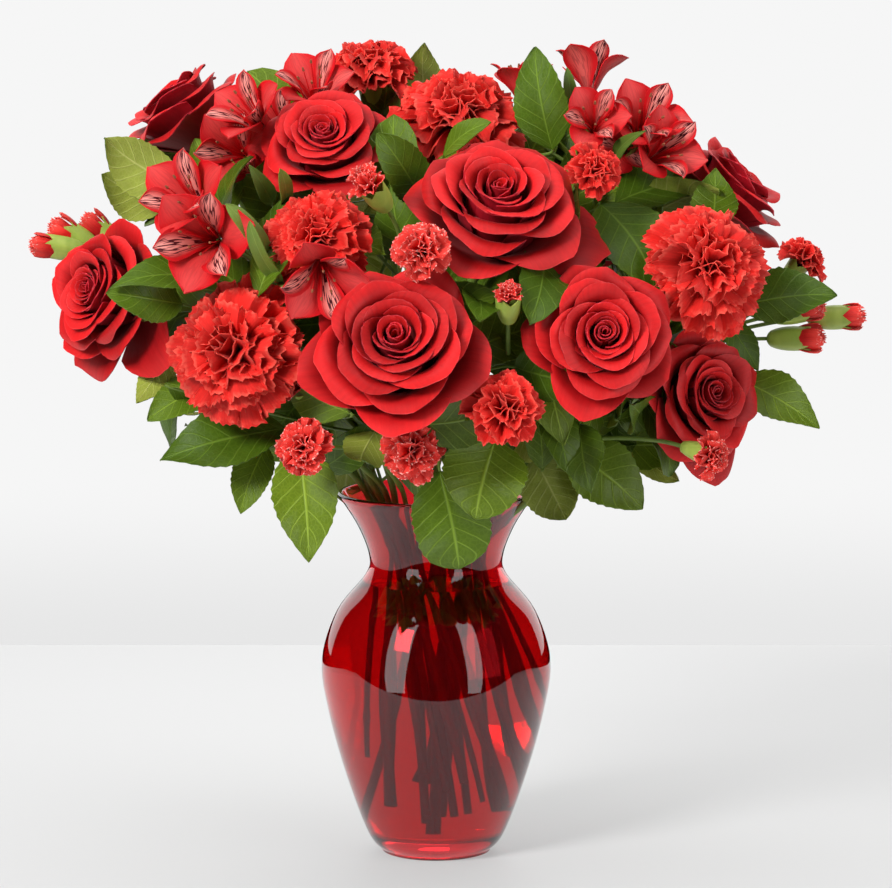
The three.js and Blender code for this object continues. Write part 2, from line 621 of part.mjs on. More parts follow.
// How far from the axis a stem of a radius may stand inside the vase's wall at a height.
function room(height, radius) {
  const k = OUTSIDE.findIndex(([, z]) => z > height);
  const [[lower, bottom], [upper, top]] = OUTSIDE.slice(k - 1, k + 1);
  const outside = THREE.MathUtils.mapLinear(height, bottom, top, lower, upper);
  return (outside - WALL) * Math.cos(Math.PI / VASE_SIDES) - radius - CLEAR;
}

// The trunks stand in the water straight from foot to neck, and are pushed until they pass clear.
function standApart() {
  const draw = seeded(5);
  for (const trunk of trunks) {
    const foot = trunk.slot.clone().multiplyScalar(FOOT.spread);
    foot.rotateAround(new THREE.Vector2(), radians(FOOT.turn));
    const height = FOOT.lowest + (FOOT.highest - FOOT.lowest) * draw() ** 2;
    trunk.foot = new THREE.Vector3(foot.x, foot.y, height);
    trunk.neck = new THREE.Vector3(trunk.slot.x, trunk.slot.y, NECK.height);
  }
  const keepIn = (point, radius) => {
    const { x, y } = new THREE.Vector2(point.x, point.y).clampLength(0, radius);
    point.set(x, y, point.z);
  };
  for (let pass = 0; pass < PASSES.water; pass++)
    trunks.forEach((one, i) => {
      for (const other of trunks.slice(i + 1)) {
        const sum = one.radius + other.radius;
        if (one.node === other.node) {
          hold(one.neck, other.neck, sum);
          continue;
        }
        const { s, t, apart } = nearest(one.foot, one.neck, other.foot, other.neck);
        const short = sum + 2.2 * GAP - apart.length();
        if (short <= 0) continue;
        apart.setZ(0).setLength(0.6 * short);
        one.foot.addScaledVector(apart, s - 1);
        one.neck.addScaledVector(apart, -s);
        other.foot.addScaledVector(apart, 1 - t);
        other.neck.addScaledVector(apart, t);
      }
      keepIn(one.foot, FOOT.radius - one.radius);
      keepIn(one.neck, NECK.radius - one.radius - GAP);
    });
  for (const { foot, neck, radius } of trunks) {
    const up = neck.clone().sub(foot).normalize();
    while (Math.hypot(foot.x, foot.y) > room(foot.z, radius)) foot.add(up);
  }
}
standApart();

// Each trunk from its foot to the neck, over the lip, and on a curve to its head.
for (const trunk of trunks) {
  const { foot, neck } = trunk;
  const share = (MOUTH.height - NECK.height) / Math.max(60, trunk.head.z - NECK.height);
  const flat = new THREE.Vector2(neck.x, neck.y).lerp(new THREE.Vector2(trunk.head.x, trunk.head.y), share);
  flat.clampLength(0, MOUTH.radius);
  const mouth = new THREE.Vector3(flat.x, flat.y, MOUTH.height);
  const guide = [neck, mouth];
  if (trunk.axis) {
    const reach = Math.min(34, 0.35 * mouth.distanceTo(trunk.head));
    guide.push(trunk.head.clone().addScaledVector(trunk.axis, -reach));
  }
  guide.push(trunk.head);
  const curve = new THREE.CatmullRomCurve3(guide);
  const lengths = trunk.axis ? 4 : 2;
  const points = [foot, neck];
  for (let k = 0; k <= lengths; k++)
    points.push(curve.getPoint((1 + ((guide.length - 2) * k) / lengths) / (guide.length - 1)));
  trunk.strand = addStrand(trunk, points, 2, points.length - (trunk.axis ? 3 : 2));
}
const trunkNamed = new Map(trunks.map((t) => [t.serves, t]));

// A branch that leaves its trunk's end, or a stalk that leaves the nearest point of it. Both arrive along
// `axis`.
function addBranch(trunk, from, to, axis, radius, sides, lengths, serves) {
  const reach = Math.min(26, 0.4 * from.distanceTo(to));
  const guide = [from, to.clone().addScaledVector(axis, -reach), to];
  const points = [from, ...new THREE.CatmullRomCurve3(guide).getPoints(lengths).slice(1)];
  return addStrand({ node: trunk.node, serves, radius, sides }, points, 1, 1);
}
function seat(bloom, back) {
  return bloom.place.position.clone().addScaledVector(bloom.axis, -back);
}
for (const s of SPRAYS) {
  const trunk = trunkNamed.get(s.name);
  for (const name of s.minis ?? []) {
    const bloom = bloomNamed.get(name);
    addBranch(trunk, trunk.head, seat(bloom, MINI.calyx - 1), bloom.axis, MINI.stem, MINI.sides, 3, name);
  }
  for (const name of s.buds ?? []) {
    const bud = BUDS.find((b) => b.name === name);
    const axis = facing(bud.face);
    const foot = seen(bud.at).addScaledVector(axis, BUD[0][1] + 1 - 0.7 * BUD.at(-1)[1]);
    addBranch(trunk, trunk.head, foot, axis, MINI.stem - 0.3, MINI.sides, 3);
  }
}
for (const s of LILY_STEMS) {
  const trunk = trunkNamed.get(s.name);
  for (const k of s.lilies) {
    const bloom = lilyBlooms[k];
    addBranch(trunk, trunk.head, seat(bloom, GAP), bloom.axis, LILY.branch, 3, 3, bloom.name);
  }
}
const leafStalks = new Map();
for (const s of [...LILY_STEMS, ...FOLIAGE]) {
  const trunk = trunkNamed.get(s.name);
  for (const leaf of s.leaves) {
    const base = seen(leaf.base);
    const along = seen(leaf.tip).sub(base).normalize();
    const from = trunk.strand.points.slice(2)
      .reduce((best, p) => (p.distanceTo(base) < best.distanceTo(base) ? p : best));
    leafStalks.set(leaf, addBranch(trunk, from, base, along, SALAL.stalk, 0, 2));
  }
}

// Moves the two ends of length k of a strand, as far as they are free.
function shove(strand, k, share, way) {
  for (const [n, part] of [[k, 1 - share], [k + 1, share]])
    if (n >= strand.free && n <= strand.last) strand.points[n].addScaledVector(way, Math.max(part, 0.2));
}

// Bends the strands clear of each other and of the blooms that they don't carry.
function makeWay() {
  for (let pass = 0; pass < PASSES.above; pass++) {
    const bounds = strands.map((s) => new THREE.Box3().setFromPoints(s.points).expandByScalar(ROSE.stem));
    const evening = pass < EVENING.until ? EVENING.early : EVENING.late;
    strands.forEach((one, i) => {
      for (let j = i + 1; j < strands.length; j++) {
        const other = strands[j];
        if (one.node === other.node || !bounds[i].intersectsBox(bounds[j])) continue;
        const need = one.radius + other.radius + 2.5 * GAP;
        for (let m = 1; m < one.points.length - 1; m++)
          for (let n = 1; n < other.points.length - 1; n++) {
            const { s, t, apart } = nearest(
              one.points[m], one.points[m + 1], other.points[n], other.points[n + 1],
            );
            const far = apart.length();
            if (far >= need) continue;
            if (far < 1e-3) apart.set(0.3, 0.5, 0.8);
            apart.setLength(0.6 * (need - far));
            shove(other, n, t, apart);
            shove(one, m, s, apart.negate());
          }
      }
      for (const bloom of blooms) {
        if (bloom.name === one.serves) continue;
        for (let m = 1; m < one.points.length - 1; m++) {
          const line = new THREE.Line3(one.points[m], one.points[m + 1]);
          const share = line.closestPointToPointParameter(bloom.ball.center, true);
          const way = line.at(share, new THREE.Vector3()).sub(bloom.ball.center);
          const short = bloom.ball.radius + one.radius + GAP - way.length();
          if (short > 0) shove(one, m, share, way.setLength(0.4 * short));
        }
      }
      for (let n = one.free; n <= one.last; n++) {
        const even = one.points[n - 1].clone().lerp(one.points[n + 1], 0.5);
        one.points[n].lerp(even, evening);
      }
      if (one.trunk) {
        const { x, y } = new THREE.Vector2(one.points[2].x, one.points[2].y).clampLength(0, MOUTH.radius);
        one.points[2].set(x, y, MOUTH.height);
      }
    });
  }
}
makeWay();

// A closed cup or bud turned about a place's axis.
function cup(place, profile, sides, grow) {
  const body = turned(profile.map(([r, z]) => [r ? r + grow : 0, z]), sides);
  return solid(body.applyMatrix4(place.matrixWorld));
}

function calyx(kind, bloom, grow) {
  const girth = kind.girth;
  const profile = [[0, -kind.calyx], [0.75 * girth, -kind.calyx], [girth, -GAP - grow], [0, -GAP - grow]];
  return cup(bloom.place, profile, 5, grow);
}

// The hip under a rose with its five sepals.
function sepals(bloom, grow) {
  const star = (side) => Array.from({ length: 10 }, (_, k) => {
    const reach = k % 2 ? ROSE.sepals : 0.34 * ROSE.sepals;
    return around(k / 10, reach + grow, 0.46 * reach - 1.2 + side * (PLATE / 2 + grow));
  });
  const hip = Array.from({ length: 5 }, (_, k) => around(k / 5, ROSE.hip + grow, -0.75 * ROSE.hip));
  const body = ringed([[around(0, 0, -1.75 * ROSE.hip)], hip, star(-1), star(1), [around(0, 0, -GAP)]]);
  return solid(body.applyMatrix4(bloom.place.matrixWorld));
}

const extras = new Map();
function addExtra(node, make) {
  extras.set(node, [...(extras.get(node) ?? []), make]);
}
for (const s of ROSE_STEMS)
  for (const name of s.blooms) addExtra(s.name, (grow) => sepals(bloomNamed.get(name), grow));
for (const s of CARNATION_STEMS)
  for (const name of s.blooms) addExtra(s.name, (grow) => calyx(CARNATION, bloomNamed.get(name), grow));
for (const s of SPRAYS) {
  for (const name of s.minis ?? []) addExtra(s.name, (grow) => calyx(MINI, bloomNamed.get(name), grow));
  for (const name of s.buds ?? []) {
    const place = stance(BUDS.find((b) => b.name === name), 0.7 * BUD.at(-1)[1]);
    addExtra(s.name, (grow) => cup(place, BUD, 5, grow));
  }
}

// Everything long, thin and green of a node, with its cups and buds.
function greens(node, grow) {
  const tubes = strands.filter((s) => s.node === node && s.sides)
    .map((s) => solid(tube(s.points, s.radius + grow, s.sides)));
  return fuse([...tubes, ...(extras.get(node) ?? []).map((make) => make(grow))]);
}

const bouquet = new THREE.Group();

// A solid as a named mesh, drawn in the frame of its own place.
function addMesh(name, made, colour, place, settings = {}) {
  const { vertProperties, triVerts, numProp } = made.getMesh();
  const positions = new Float32Array((vertProperties.length / numProp) * 3);
  for (let k = 0; k < positions.length / 3; k++)
    positions.set(vertProperties.subarray(k * numProp, k * numProp + 3), 3 * k);
  const geometry = new THREE.BufferGeometry();
  geometry.setAttribute("position", new THREE.BufferAttribute(positions, 3));
  geometry.setIndex(new THREE.BufferAttribute(triVerts, 1));
  const plain = { color: colour, roughness: 0.7, metalness: 0 };
  const material = new THREE.MeshStandardMaterial({ ...plain, ...settings });
  const mesh = new THREE.Mesh(geometry, material);
  if (place) {
    geometry.applyMatrix4(place.matrixWorld.clone().invert());
    mesh.position.copy(place.position);
    mesh.quaternion.copy(place.quaternion);
  }
  mesh.name = name;
  bouquet.add(mesh);
}

// The vase, and the water up to its level with a plain hole round each stem.
const inside = OUTSIDE.slice(1, -1).map(([r, z]) => [r - WALL, Math.max(z, FLOOR)]);
const lip = OUTSIDE.at(-1);
const rim = [[lip[0] - 0.5 * WALL, LIP], [lip[0] - WALL, lip[1]]];
const section = [[0, 0], ...OUTSIDE, ...rim, ...inside.toReversed(), [0, FLOOR]];
const vase = solid(turned(section, VASE_SIDES));
const clear = { roughness: 0.05, transparent: true };
addMesh("vase", vase, COLOURS.glass, null, { ...clear, opacity: 0.6 });
const wet = inside.filter(([, z]) => z < WATER_LEVEL);
const [dryRadius, dryHeight] = inside[wet.length];
const [wetRadius, wetHeight] = wet.at(-1);
const rise = (WATER_LEVEL - wetHeight) / (dryHeight - wetHeight);
const shore = [THREE.MathUtils.lerp(wetRadius, dryRadius, rise) - GAP, WATER_LEVEL];
const side = wet.map(([r, z]) => [r - GAP, Math.max(z, FLOOR + GAP)]);
const still = solid(turned([[0, FLOOR + GAP], ...side, shore, [0, WATER_LEVEL]], VASE_SIDES));
const holes = fuse(trunks.map((t) => {
  const below = t.foot.clone().sub(t.neck).setLength(GAP).add(t.foot);
  return solid(tube([below, t.neck], t.radius + GAP, t.sides));
}));
addMesh("water", still.subtract(holes), COLOURS.water, null, { ...clear, opacity: 0.4 });

// The stems keep their shape, the blooms keep off them and off each other, and the leaves keep off them all.
const nodes = [...ROSE_STEMS, ...CARNATION_STEMS, ...SPRAYS, ...LILY_STEMS, ...FOLIAGE];
const keepOff = [];
function trimmed(node, made) {
  const bounds = made.boundingBox();
  const near = keepOff.filter((k) => k.node !== node && [0, 1, 2].every(
    (n) => k.bounds.min[n] < bounds.max[n] && k.bounds.max[n] > bounds.min[n],
  ));
  return near.length ? made.subtract(fuse(near.map((k) => k.made))) : made;
}
function keep(node, made) {
  keepOff.push({ node, made, bounds: made.boundingBox() });
}
for (const { name } of nodes) keep(name, greens(name, GAP));
for (const node of new Set(blooms.map((b) => b.node))) {
  const members = blooms.filter((b) => b.node === node);
  const { colour, place } = members[0];
  const build = (grow) => fuse(members.map((b) => b.shape(grow)));
  addMesh(node, largest(trimmed(node, build(0))), colour, place);
  keep(node, build(GAP));
}
keep("vase", vase);
for (const { name, leaves } of nodes) {
  const blade = (leaf, grow) => solid(leafPiece(leaf, leafStalks.get(leaf).points, grow));
  const blades = (leaves ?? []).map((leaf) => blade(leaf, 0));
  const made = fuse([greens(name, 0), ...blades.map((whole) => trimmed(name, whole))]);
  addMesh(name, largest(made), FOLIAGE.some((f) => f.name === name) ? COLOURS.leaf : COLOURS.stem, null);
  for (const leaf of leaves ?? []) keep(name, blade(leaf, GAP));
}

export default bouquet;
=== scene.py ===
# A round bouquet of red roses, carnations, spray carnations and Peruvian lilies with salal leaves, standing
# in water in a flared vase of red glass. The petals, leaves, stems, glass and water stand where the packed
# solids are. Tables give millimetres, as sighted from the front, and everything that is made is in metres.
import json
import math
import random

import bpy
import numpy as np
from mathutils import Matrix, Vector

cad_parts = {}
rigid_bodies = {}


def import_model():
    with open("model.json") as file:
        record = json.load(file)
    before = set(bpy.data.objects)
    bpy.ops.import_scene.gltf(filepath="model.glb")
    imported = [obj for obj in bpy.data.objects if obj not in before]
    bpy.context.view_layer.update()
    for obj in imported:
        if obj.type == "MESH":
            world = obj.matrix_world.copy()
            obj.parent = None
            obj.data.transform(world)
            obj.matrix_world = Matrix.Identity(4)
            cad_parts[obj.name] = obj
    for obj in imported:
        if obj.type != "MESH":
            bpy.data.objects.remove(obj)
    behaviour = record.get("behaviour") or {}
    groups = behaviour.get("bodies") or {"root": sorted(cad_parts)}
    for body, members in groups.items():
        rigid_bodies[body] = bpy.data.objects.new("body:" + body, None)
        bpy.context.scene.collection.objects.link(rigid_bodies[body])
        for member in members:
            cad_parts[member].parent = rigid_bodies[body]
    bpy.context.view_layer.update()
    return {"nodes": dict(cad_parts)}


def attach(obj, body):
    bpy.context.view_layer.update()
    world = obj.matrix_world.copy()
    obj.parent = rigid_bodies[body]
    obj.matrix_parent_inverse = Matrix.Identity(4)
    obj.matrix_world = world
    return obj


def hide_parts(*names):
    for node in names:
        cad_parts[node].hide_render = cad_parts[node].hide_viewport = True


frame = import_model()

MM = 0.001

# Places are sighted from the front: across and up are measured on the plane through the vase's axis,
# and a piece that stands forward of it is drawn back along the line of sight to this eye.
EYE = Vector((5.5, -2200, 520)) * MM
UP = Vector((0, 0, 1))

# The vase's outside from the foot to the lip as (radius, height).
OUTSIDE = (
    (29, 0), (38.3, 10.7), (50.9, 45), (60.3, 80), (63.8, 108),
    (55.3, 135.5), (39.3, 156), (37.2, 167), (43.5, 184), (54.8, 202),
)
# How thick the glass is, and how high the vase's floor, its lip and the water's surface are.
WALL = 3
FLOOR = 12
LIP = 203
WATER_LEVEL = 152

# Blooms: the heart as (across, up, forward), the way they look as (right, forward, up), the width that they
# are open, and the turn about their own axis in degrees.
ROSES = {
    "rose_front": ((-22, 284, 146), (-0.03, 0.84, 0.54), 101, 20),
    "rose_center": ((34, 362, 100), (0.06, 0.66, 0.74), 98, 70),
    "rose_right": ((92, 289, 124), (0.05, 0.95, 0.3), 84, 0),
    "rose_upper_left": ((-61, 396, 48), (-0.08, 0.72, 0.69), 76, 40),
    "rose_left": ((-183, 314, 46), (-0.74, 0.62, 0.26), 82, 10),
    "rose_back_left": ((-139, 413, -18), (-0.62, 0.0, 0.78), 78, 55),
    "rose_back_right": ((160, 369, 4), (0.68, 0.1, 0.72), 82, 30),
    "rose_lower_right": ((148, 257, 66), (0.55, 0.8, 0.24), 76, 80),
    "rose_behind_left": ((-84, 345, -100), (-0.4, -0.8, 0.45), 76, 15),
    "rose_behind_right": ((84, 330, -104), (0.4, -0.8, 0.45), 76, 65),
}
CARNATIONS = {
    "carnation_front_left": ((-112, 281, 108), (-0.3, 0.92, 0.2), 80, 0),
    "carnation_top": ((11, 413, 18), (0, 0.5, 0.87), 80, 30),
    "carnation_right": ((152, 329, 88), (0.4, 0.85, 0.35), 75, 50),
    "carnation_left": ((-66, 345, 98), (-0.1, 0.85, 0.5), 60, 15),
    "carnation_top_left": ((-37, 439, -26), (-0.1, 0.25, 0.97), 54, 40),
    "carnation_behind": ((2, 392, -74), (0, -0.66, 0.75), 76, 10),
}
MINIS = {
    "mini_upper_right": ((87, 381, 90), (0.35, 0.8, 0.45), 34, 0),
    "mini_front_right": ((38, 249, 146), (0.1, 0.8, 0.45), 46, 20),
    "mini_center": ((-8, 337, 140), (0, 0.93, 0.35), 34, 40),
    "mini_bud_center": ((-36, 372, 118), (-0.45, 0.6, 0.66), 24, 0),
    "mini_bud_front": ((40, 311, 134), (0, 0.6, 0.8), 17, 30),
    "mini_low_left": ((-74, 227, 128), (-0.25, 0.95, 0.1), 33, 60),
    "mini_low_center": ((-13, 225, 126), (0, 0.98, 0), 36, 15),
    "mini_low_right": ((153, 222, 104), (0.75, 0.6, -0.2), 27, 45),
    "mini_far_right": ((203, 333, 24), (0.6, 0.2, 0.8), 32, 10),
    "mini_behind_left": ((-77, 262, 82), (-0.6, 0.5, 0.4), 26, 25),
}
BUDS = {
    "left_low": ((-213, 339, 8), (-0.9, 0.1, 0.15)),
    "left_high": ((-203, 347, -4), (-0.8, 0, 0.5)),
    "left_inner": ((-186, 349, -12), (-0.7, -0.1, 0.6)),
    "right_long": ((226, 300, 22), (0.97, 0.1, 0.05)),
    "right_low": ((204, 288, 28), (0.97, 0.15, 0.02)),
    "right_high": ((204, 304, 34), (0.9, 0.3, 0.2)),
}
LILIES = {
    "lily_upper_left": [((-103, 413, 36), (-0.5, 0.6, 0.6), 40), ((-110, 392, 20), (-0.2, 0.9, 0.2), 42)],
    "lilies_left": [((-127, 343, 98), (-0.2, 0.9, 0.1), 52), ((-137, 366, 86), (-0.45, 0.75, 0.5), 46)],
    "lily_center_left": [((-63, 322, 140), (0.05, 0.9, -0.35), 44)],
    "lily_top_left": [((-67, 427, 10), (-0.1, 0.6, 0.8), 40), ((-86, 406, -8), (-0.3, 0.8, 0.5), 36)],
    "lily_top_bell": [((84, 436, 6), (0.0, -0.45, 0.9), 36)],
    "lily_top_inner": [((46, 431, -14), (-0.1, -0.1, 1), 32)],
    "lily_top_right": [((87, 408, 50), (0, 0.9, 0.4), 34)],
    "lilies_right": [
        ((115, 408, 38), (0.15, 0.75, 0.6), 42), ((125, 392, 46), (0.4, 0.8, 0.35), 40),
        ((104, 396, 20), (0, 0.9, 0.3), 40),
    ],
}

# The lilies' stems: the point where each forks, the blooms that it carries, and its leaves. Leaves run from
# base to tip, each as (base, tip, width, the way that the top looks), and some have how blunt the tip is.
LILY_STEMS = {
    "lily_stem_left": ((-94, 326, 66), ("lilies_left", "lily_center_left"), [
        ((-92, 330, 92), (-113, 362, 112), 12, (0.5, 0.8, 0.2)),
        ((-84, 318, 96), (-104, 350, 122), 11, (-0.5, 0.8, 0.3)),
        ((-88, 318, 96), (-54, 307, 132), 10, (0, 0.4, 0.9)),
    ]),
    "lily_stem_top_left": ((-84, 378, 6), ("lily_upper_left", "lily_top_left"), [
        ((-90, 362, 58), (-101, 382, 84), 10, (0, 0.9, 0.3)),
        ((-84, 360, 64), (-84, 380, 88), 9, (0.4, 0.9, 0.2)),
    ]),
    "lily_stem_right": ((88, 378, 8), ("lily_top_bell", "lily_top_inner", "lily_top_right", "lilies_right"), [
        ((76, 408, 24), (72, 436, 34), 8, (0, 0.9, 0.3)),
        ((98, 384, 40), (112, 402, 76), 9, (-0.5, 0.8, 0.2)),
    ]),
}
# The leaf branches: the point where each ends, and its leaves. A leaf whose face looks away from the front
# shows its underside.
FOLIAGE = {
    "foliage_far_left": ((-132, 352, 6), [
        ((-138, 371, 30), (-183, 397, 36), 34, (0.1, -0.8, -0.6), 0.2),
        ((-148, 360, 14), (-184, 378, 18), 29, (0.2, -0.8, -0.4), 0.1),
        ((-120, 340, -34), (-160, 362, -72), 30, (-0.5, -0.6, 0.6)),
        ((-118, 310, -40), (-168, 306, -60), 30, (-0.4, -0.5, 0.8)),
    ]),
    "foliage_left": ((-128, 292, 42), [
        ((-124, 320, 84), (-179, 319, 104), 25, (0, 0.6, 0.8)),
        ((-140, 307, 78), (-180, 314, 100), 26, (-0.1, 0.9, 0.3)),
        ((-146, 284, 52), (-165, 251, 64), 20, (0.3, -0.9, -0.2), 0.05),
        ((-124, 262, 56), (-160, 244, 68), 25, (-0.1, 0.8, 0.5), 0.1),
    ]),
    "foliage_low_left": ((-66, 240, 52), [
        ((-84, 238, 78), (-153, 223, 92), 37, (0, 0.78, 0.6), 0.05),
        ((-94, 228, 66), (-109, 191, 80), 23, (-0.2, 0.95, 0.2), 0.1),
        ((-76, 228, 84), (-71, 164, 106), 36, (-0.05, 0.95, 0.3), 0.05),
    ]),
    "foliage_front": ((6, 236, 56), [
        ((2, 214, 74), (13, 159, 82), 42, (0, 0.97, 0.2), 1),
        ((33, 232, 94), (22, 188, 112), 46, (0.05, 0.85, 0.5)),
        ((8, 238, 84), (22, 206, 94), 26, (0.2, 0.9, 0.3)),
    ]),
    "foliage_low_right": ((62, 232, 48), [
        ((56, 296, 80), (70, 230, 106), 34, (-0.2, 0.95, 0.1)),
        ((80, 240, 86), (85, 203, 106), 26, (-0.3, 0.9, 0.3)),
        ((54, 222, 66), (72, 186, 80), 32, (-0.1, -0.95, -0.2), 0.3),
        ((74, 226, 62), (115, 194, 74), 36, (0.1, 0.9, 0.3), 0.25),
        ((99, 233, 44), (134, 207, 52), 14, (-0.2, -0.8, -0.5)),
    ]),
    "foliage_right": ((140, 292, 30), [
        ((168, 306, 40), (220, 314, 54), 33, (0.1, 0.8, 0.55), 0.15),
        ((166, 266, 36), (213, 240, 48), 29, (0.2, 0.8, 0.5), 0.05),
        ((158, 300, 34), (179, 270, 36), 17, (0.3, 0.9, 0.1)),
        ((128, 300, -20), (176, 318, -54), 32, (0.4, -0.5, 0.8)),
    ]),
    "foliage_top": ((24, 392, 10), [
        ((64, 392, 38), (53, 448, 36), 31, (-0.2, 0.9, -0.25), 0.1),
        ((-4, 410, -46), (-7, 450, -52), 27, (-0.2, -0.8, -0.3), 0.0),
        ((-8, 364, 58), (-30, 400, 84), 26, (0.3, 0.9, 0.1)),
        ((4, 388, 50), (28, 408, 66), 15, (-0.2, 0.7, 0.6)),
    ]),
    "foliage_mid_right": ((104, 336, 34), [
        ((90, 362, 56), (124, 315, 88), 40, (0.1, 0.8, 0.6)),
        ((152, 350, 38), (153, 381, 46), 26, (-0.1, 0.9, 0.3)),
        ((84, 344, 60), (66, 320, 96), 30, (0.3, 0.8, 0.5)),
    ]),
    "foliage_behind": ((0, 312, -56), [
        ((-30, 290, -80), (-66, 262, -126), 38, (-0.3, -0.7, 0.6)),
        ((30, 284, -84), (58, 250, -128), 38, (0.3, -0.7, 0.6)),
        ((0, 318, -86), (2, 350, -136), 36, (0, -0.8, 0.6)),
        ((-40, 250, -62), (-52, 200, -96), 36, (-0.2, -0.9, 0.3)),
        ((30, 246, -60), (30, 192, -92), 38, (0.1, -0.9, 0.3)),
        ((76, 262, -60), (120, 240, -88), 32, (0.5, -0.6, 0.6)),
    ]),
}

# The other stems' nodes with the blooms that they carry. A spray also has the point where it forks, and buds.
ROSE_STEMS = {
    "rose_stems_left": ("rose_left", "rose_back_left", "rose_behind_left"),
    "rose_stems_front": ("rose_front", "rose_center", "rose_upper_left"),
    "rose_stems_right": ("rose_lower_right", "rose_right"),
    "rose_stems_behind": ("rose_back_right", "rose_behind_right"),
}
CARNATION_STEMS = {
    "carnation_stems_left": ("carnation_front_left", "carnation_left"),
    "carnation_stems_right": ("carnation_top", "carnation_top_left", "carnation_behind", "carnation_right"),
}
SPRAYS = {
    "spray_left": ((-118, 322, -6), (), ("left_low", "left_high", "left_inner")),
    "spray_center": ((-14, 296, 84), ("mini_center", "mini_bud_center"), ()),
    "spray_low": ((-34, 226, 66), ("mini_low_left", "mini_low_center", "mini_behind_left"), ()),
    "spray_mid": ((40, 276, 74), ("mini_bud_front", "mini_front_right", "mini_upper_right"), ()),
    "spray_low_right": ((84, 232, 66), ("mini_low_right",), ()),
    "spray_far_right": ((136, 284, 14), ("mini_far_right",), ("right_long", "right_low", "right_high")),
}

# How deep a bloom is behind its heart, as a share of half its width.
DEPTH = {"rose": 0.62, "carnation": 0.55, "mini": 0.55, "lily": 1.05}
# How thick sheets are drawn. Real petals are thinner.
THICK = {"rose": 0.5, "carnation": 0.4, "mini": 0.35, "lily": 0.5, "bud": 0.4, "calyx": 0.6, "leaf": 0.45}
# The radii of stems and of their branches, and how far apart the joints of some are.
STEM = {"rose": 2.9, "carnation": 2.2, "spray": 1.5, "lily": 2.2, "foliage": 1.8}
BRANCH = {"spray": 1.3, "lily": 1.2, "foliage": 0.9}
JOINTS = {"carnation": 62, "spray": 48}
# A hip's radius, a sepal's length and width, a calyx's length and radius, and a bud's length.
HIP = 4.6
SEPAL = (17, 6.5)
CALYX = {"carnation": (21, 6.2), "mini": (12, 3.4)}
BUD_LENGTH = 17
# How much fuller the buds are, and how much wider open the lilies, than their solids.
BUD_FULL = 1.28
LILY_OPEN = 1.16
# A spray carnation this wide or less is half open.
HALF_OPEN_WIDTH = 26
# Spray carnations without pale edges.
PLAIN_RED = ("mini_upper_right", "mini_front_right", "mini_far_right")


def seen(at):
    """The point that is sighted at (across, up, forward)."""
    across, up, forward = at
    return EYE + (Vector((across, 0, up)) * MM - EYE) * (1 + forward * MM / EYE.y)


def facing(way):
    right, forward, up = way
    return Vector((right, -forward, up)).normalized()


def stance(at, face, depth, turn=0):
    """The place of a bloom's foot, with the z axis the way that the bloom faces."""
    axis = facing(face)
    turned = UP.rotation_difference(axis).to_matrix().to_4x4() @ Matrix.Rotation(math.radians(turn), 4, "Z")
    return Matrix.Translation(seen(at) - axis * depth) @ turned


def foot_of(kind, bloom):
    at, face, width, *turn = bloom
    return stance(at, face, DEPTH[kind] * width / 2 * MM, *turn)


def bud_foot(at, face):
    """The place of a bud's foot. Its heart is nearer to its tip."""
    return stance(at, face, 0.7 * BUD_LENGTH * MM)


# Tools for meshes

# Edges that bend more than this many degrees stay sharp.
CREASE = 50


def linked(name, data):
    """A new object in the scene."""
    thing = bpy.data.objects.new(name, data)
    bpy.context.scene.collection.objects.link(thing)
    return thing


def choose(*pieces):
    """Selects these objects alone, the first of them active."""
    for other in bpy.context.scene.objects:
        other.select_set(False)
    for piece in pieces:
        piece.select_set(True)
    bpy.context.view_layer.objects.active = pieces[0]


def joined(name, pieces):
    """One piece from several, with its place in its mesh."""
    choose(*pieces)
    if len(pieces) > 1:
        bpy.ops.object.join()
    piece = bpy.context.view_layer.objects.active
    bpy.ops.object.transform_apply(location=True, rotation=True, scale=True)
    piece.name = name
    piece.data.name = name
    return piece


def smooth(piece):
    choose(piece)
    bpy.ops.object.shade_smooth_by_angle(angle=math.radians(CREASE))


class Sheets:
    """Curved sheets, such as petals and leaves, that together make one piece. Each runs along its rows and
    across its columns, and keeps that as its UV map, with a tint of its own."""

    def __init__(self):
        self.points = []
        self.faces = []
        self.places = []
        self.tints = []

    def add(self, grid, tint):
        rows, columns = grid.shape[:2]
        start = sum(len(p) for p in self.points)
        index = start + np.arange(rows * columns).reshape(rows, columns)
        corners = index[:-1, :-1], index[:-1, 1:], index[1:, 1:], index[1:, :-1]
        self.faces.append(np.stack(corners, -1).reshape(-1, 4))
        self.points.append(grid.reshape(-1, 3))
        v, u = np.meshgrid(np.linspace(0, 1, rows), np.linspace(0, 1, columns), indexing="ij")
        self.places.append(np.stack((u, v), -1).reshape(-1, 2))
        self.tints.append(np.full(rows * columns, tint))

    def piece(self, name, material, thick, under=None):
        """The sheets as one piece with this skin, or with this one and another on their far side."""
        mesh = bpy.data.meshes.new(name)
        mesh.from_pydata(np.concatenate(self.points).tolist(), [], np.concatenate(self.faces).tolist())
        corner = np.zeros(len(mesh.loops), np.int32)
        mesh.loops.foreach_get("vertex_index", corner)
        mesh.uv_layers.new(name="along").data.foreach_set("uv", np.concatenate(self.places)[corner].ravel())
        tint = mesh.attributes.new("tint", "FLOAT", "POINT")
        tint.data.foreach_set("value", np.concatenate(self.tints))
        sheet = linked(name, mesh)
        mesh.materials.append(material)
        if under:
            mesh.materials.append(under)
        choose(sheet)
        solid = sheet.modifiers.new("thickness", "SOLIDIFY")
        solid.thickness = thick * MM
        solid.offset = 0
        solid.material_offset = 1 if under else 0
        bpy.ops.object.modifier_apply(modifier=solid.name)
        smooth(sheet)
        return sheet


def across_along(columns, rows):
    """A sheet's shares: from -1 to 1 across its columns, and from 0 to 1 along its rows."""
    return np.linspace(-1, 1, columns)[None, :], np.linspace(0, 1, rows)[:, None]


